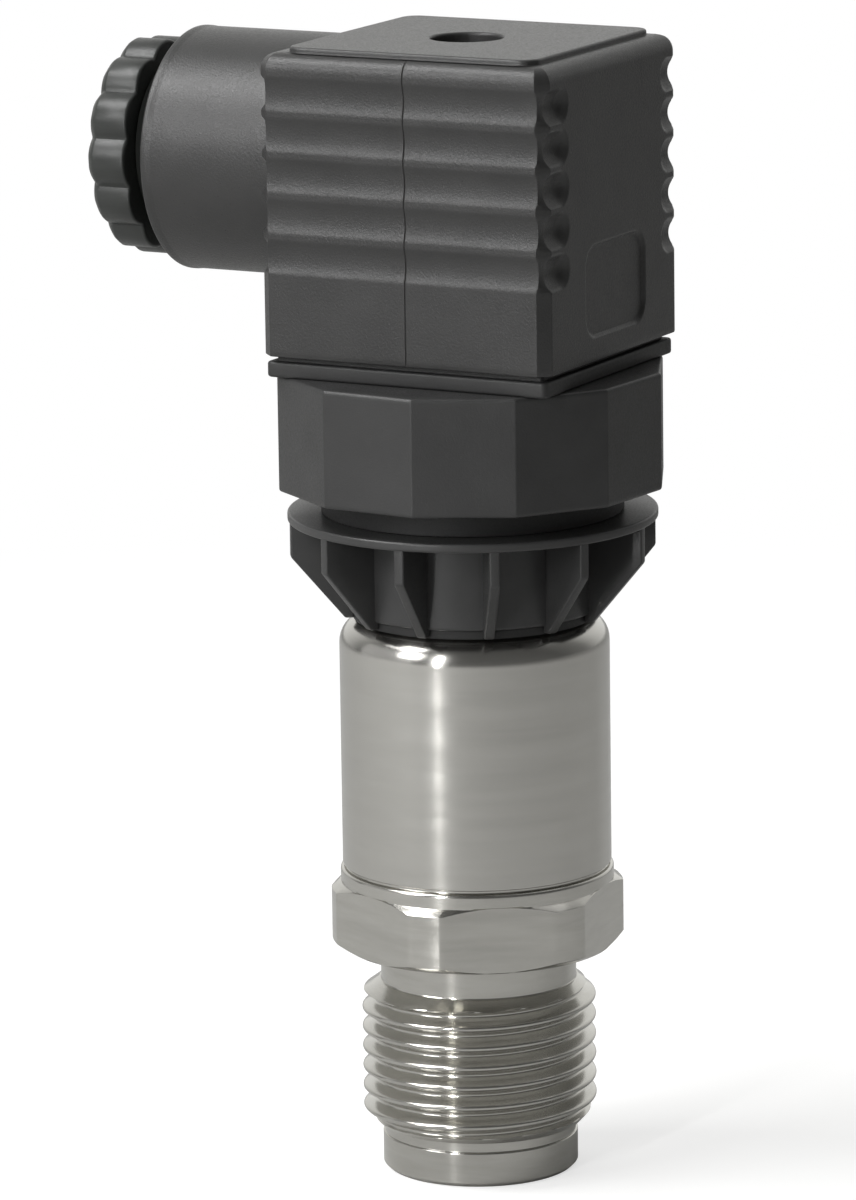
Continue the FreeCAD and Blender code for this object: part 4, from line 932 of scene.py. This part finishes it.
def make_world():
    """White to the camera. To all else a studio: a pale backdrop behind, a dim room in front.

    The room's grey runs with the dot product of a ray's direction and the way to the backdrop.
    """
    world = bpy.data.worlds.new("studio")
    bpy.context.scene.world = world
    world.use_nodes = True
    nodes, links = world.node_tree.nodes, world.node_tree.links
    nodes.clear()
    ray = nodes.new("ShaderNodeTexCoord")
    facing_back = nodes.new("ShaderNodeVectorMath")
    facing_back.operation = "DOT_PRODUCT"
    facing_back.inputs[1].default_value = direction(*BACKDROP)
    links.new(ray.outputs["Generated"], facing_back.inputs[0])
    spread = nodes.new("ShaderNodeMapRange")
    spread.inputs["From Min"].default_value = -1.0
    links.new(facing_back.outputs["Value"], spread.inputs["Value"])
    ramp = nodes.new("ShaderNodeValToRGB")
    links.new(spread.outputs["Result"], ramp.inputs["Fac"])
    elements = ramp.color_ramp.elements
    while len(elements) < len(ROOM_GREYS):
        elements.new(0.5)
    for element, (place, grey) in zip(elements, ROOM_GREYS):
        element.position = place
        element.color = (grey, grey, grey * 0.98, 1)
    room = nodes.new("ShaderNodeBackground")
    links.new(ramp.outputs["Color"], room.inputs["Color"])
    path = nodes.new("ShaderNodeLightPath")
    white = nodes.new("ShaderNodeBackground")
    white.inputs["Color"].default_value = (1, 1, 1, 1)
    mix = nodes.new("ShaderNodeMixShader")
    output = nodes.new("ShaderNodeOutputWorld")
    links.new(path.outputs["Is Camera Ray"], mix.inputs["Fac"])
    links.new(room.outputs["Background"], mix.inputs[1])
    links.new(white.outputs["Background"], mix.inputs[2])
    links.new(mix.outputs["Shader"], output.inputs["Surface"])


def make_floor():
    """Plain grey floor. The camera sees it lifted towards white, and fading to white far away."""
    mesh = bpy.data.meshes.new("floor")
    reach = FLOOR_REACH
    corners = [(-reach, -reach, 0), (reach, -reach, 0), (reach, reach, 0), (-reach, reach, 0)]
    mesh.from_pydata(corners, [], [(0, 1, 2, 3)])
    finish = Finish("floor_paper", (0.50, 0.50, 0.495), 0.9, Specular_IOR_Level=0.1)
    nodes, links = finish.nodes, finish.links
    path = nodes.new("ShaderNodeLightPath")
    glow = nodes.new("ShaderNodeEmission")
    lift = nodes.new("ShaderNodeMath")
    lift.operation = "MULTIPLY"
    lift.inputs[1].default_value = FLOOR_LIFT
    links.new(path.outputs["Is Camera Ray"], lift.inputs[0])
    links.new(lift.outputs["Value"], glow.inputs["Strength"])
    lifted = nodes.new("ShaderNodeAddShader")
    links.new(finish.shader.outputs["BSDF"], lifted.inputs[0])
    links.new(glow.outputs["Emission"], lifted.inputs[1])
    distance = nodes.new("ShaderNodeVectorMath")
    distance.operation = "LENGTH"
    links.new(finish.place, distance.inputs[0])
    far = finish.spread(distance.outputs["Value"], 0.0, 1.0, *FLOOR_FADE)
    seen = nodes.new("ShaderNodeMath")
    seen.operation = "MULTIPLY"
    links.new(far, seen.inputs[0])
    links.new(path.outputs["Is Camera Ray"], seen.inputs[1])
    white = nodes.new("ShaderNodeEmission")
    fade = nodes.new("ShaderNodeMixShader")
    links.new(seen.outputs["Value"], fade.inputs["Fac"])
    links.new(lifted.outputs["Shader"], fade.inputs[1])
    links.new(white.outputs["Emission"], fade.inputs[2])
    links.new(fade.outputs["Shader"], nodes["Material Output"].inputs["Surface"])
    mesh.materials.append(finish.material)
    floor = bpy.data.objects.new("floor", mesh)
    bpy.context.scene.collection.objects.link(floor)


def make_camera():
    """Long lens on the front right, slightly above, rolled by less than a degree."""
    azimuth, roll = math.radians(CAMERA_AZIMUTH), math.radians(CAMERA_ROLL)
    back = direction(CAMERA_AZIMUTH, CAMERA_ELEVATION)
    right = np.array([math.cos(azimuth), math.sin(azimuth), 0.0])
    up = np.cross(back, right)
    across = right * math.cos(roll) + up * math.sin(roll)
    over = -right * math.sin(roll) + up * math.cos(roll)
    target = np.array([0.0, 0.0, AIM_LEVEL]) + right * AIM_ASIDE
    position = (target + back * CAMERA_DISTANCE) * MM
    lens = bpy.data.cameras.new("main_camera")
    lens.lens = CAMERA_LENS
    lens.sensor_width = 36.0
    lens.sensor_fit = "AUTO"
    lens.clip_start = 0.01
    camera = bpy.data.objects.new("main_camera", lens)
    axes = np.column_stack([across, over, back, position])
    camera.matrix_world = Matrix([*axes.tolist(), [0, 0, 0, 1]])
    bpy.context.scene.collection.objects.link(camera)
    bpy.context.scene.camera = camera


make_world()
make_floor()
make_camera()
for lamp_values in LAMPS:
    add_softbox(*lamp_values)
bpy.context.scene.view_settings.view_transform = "Standard"
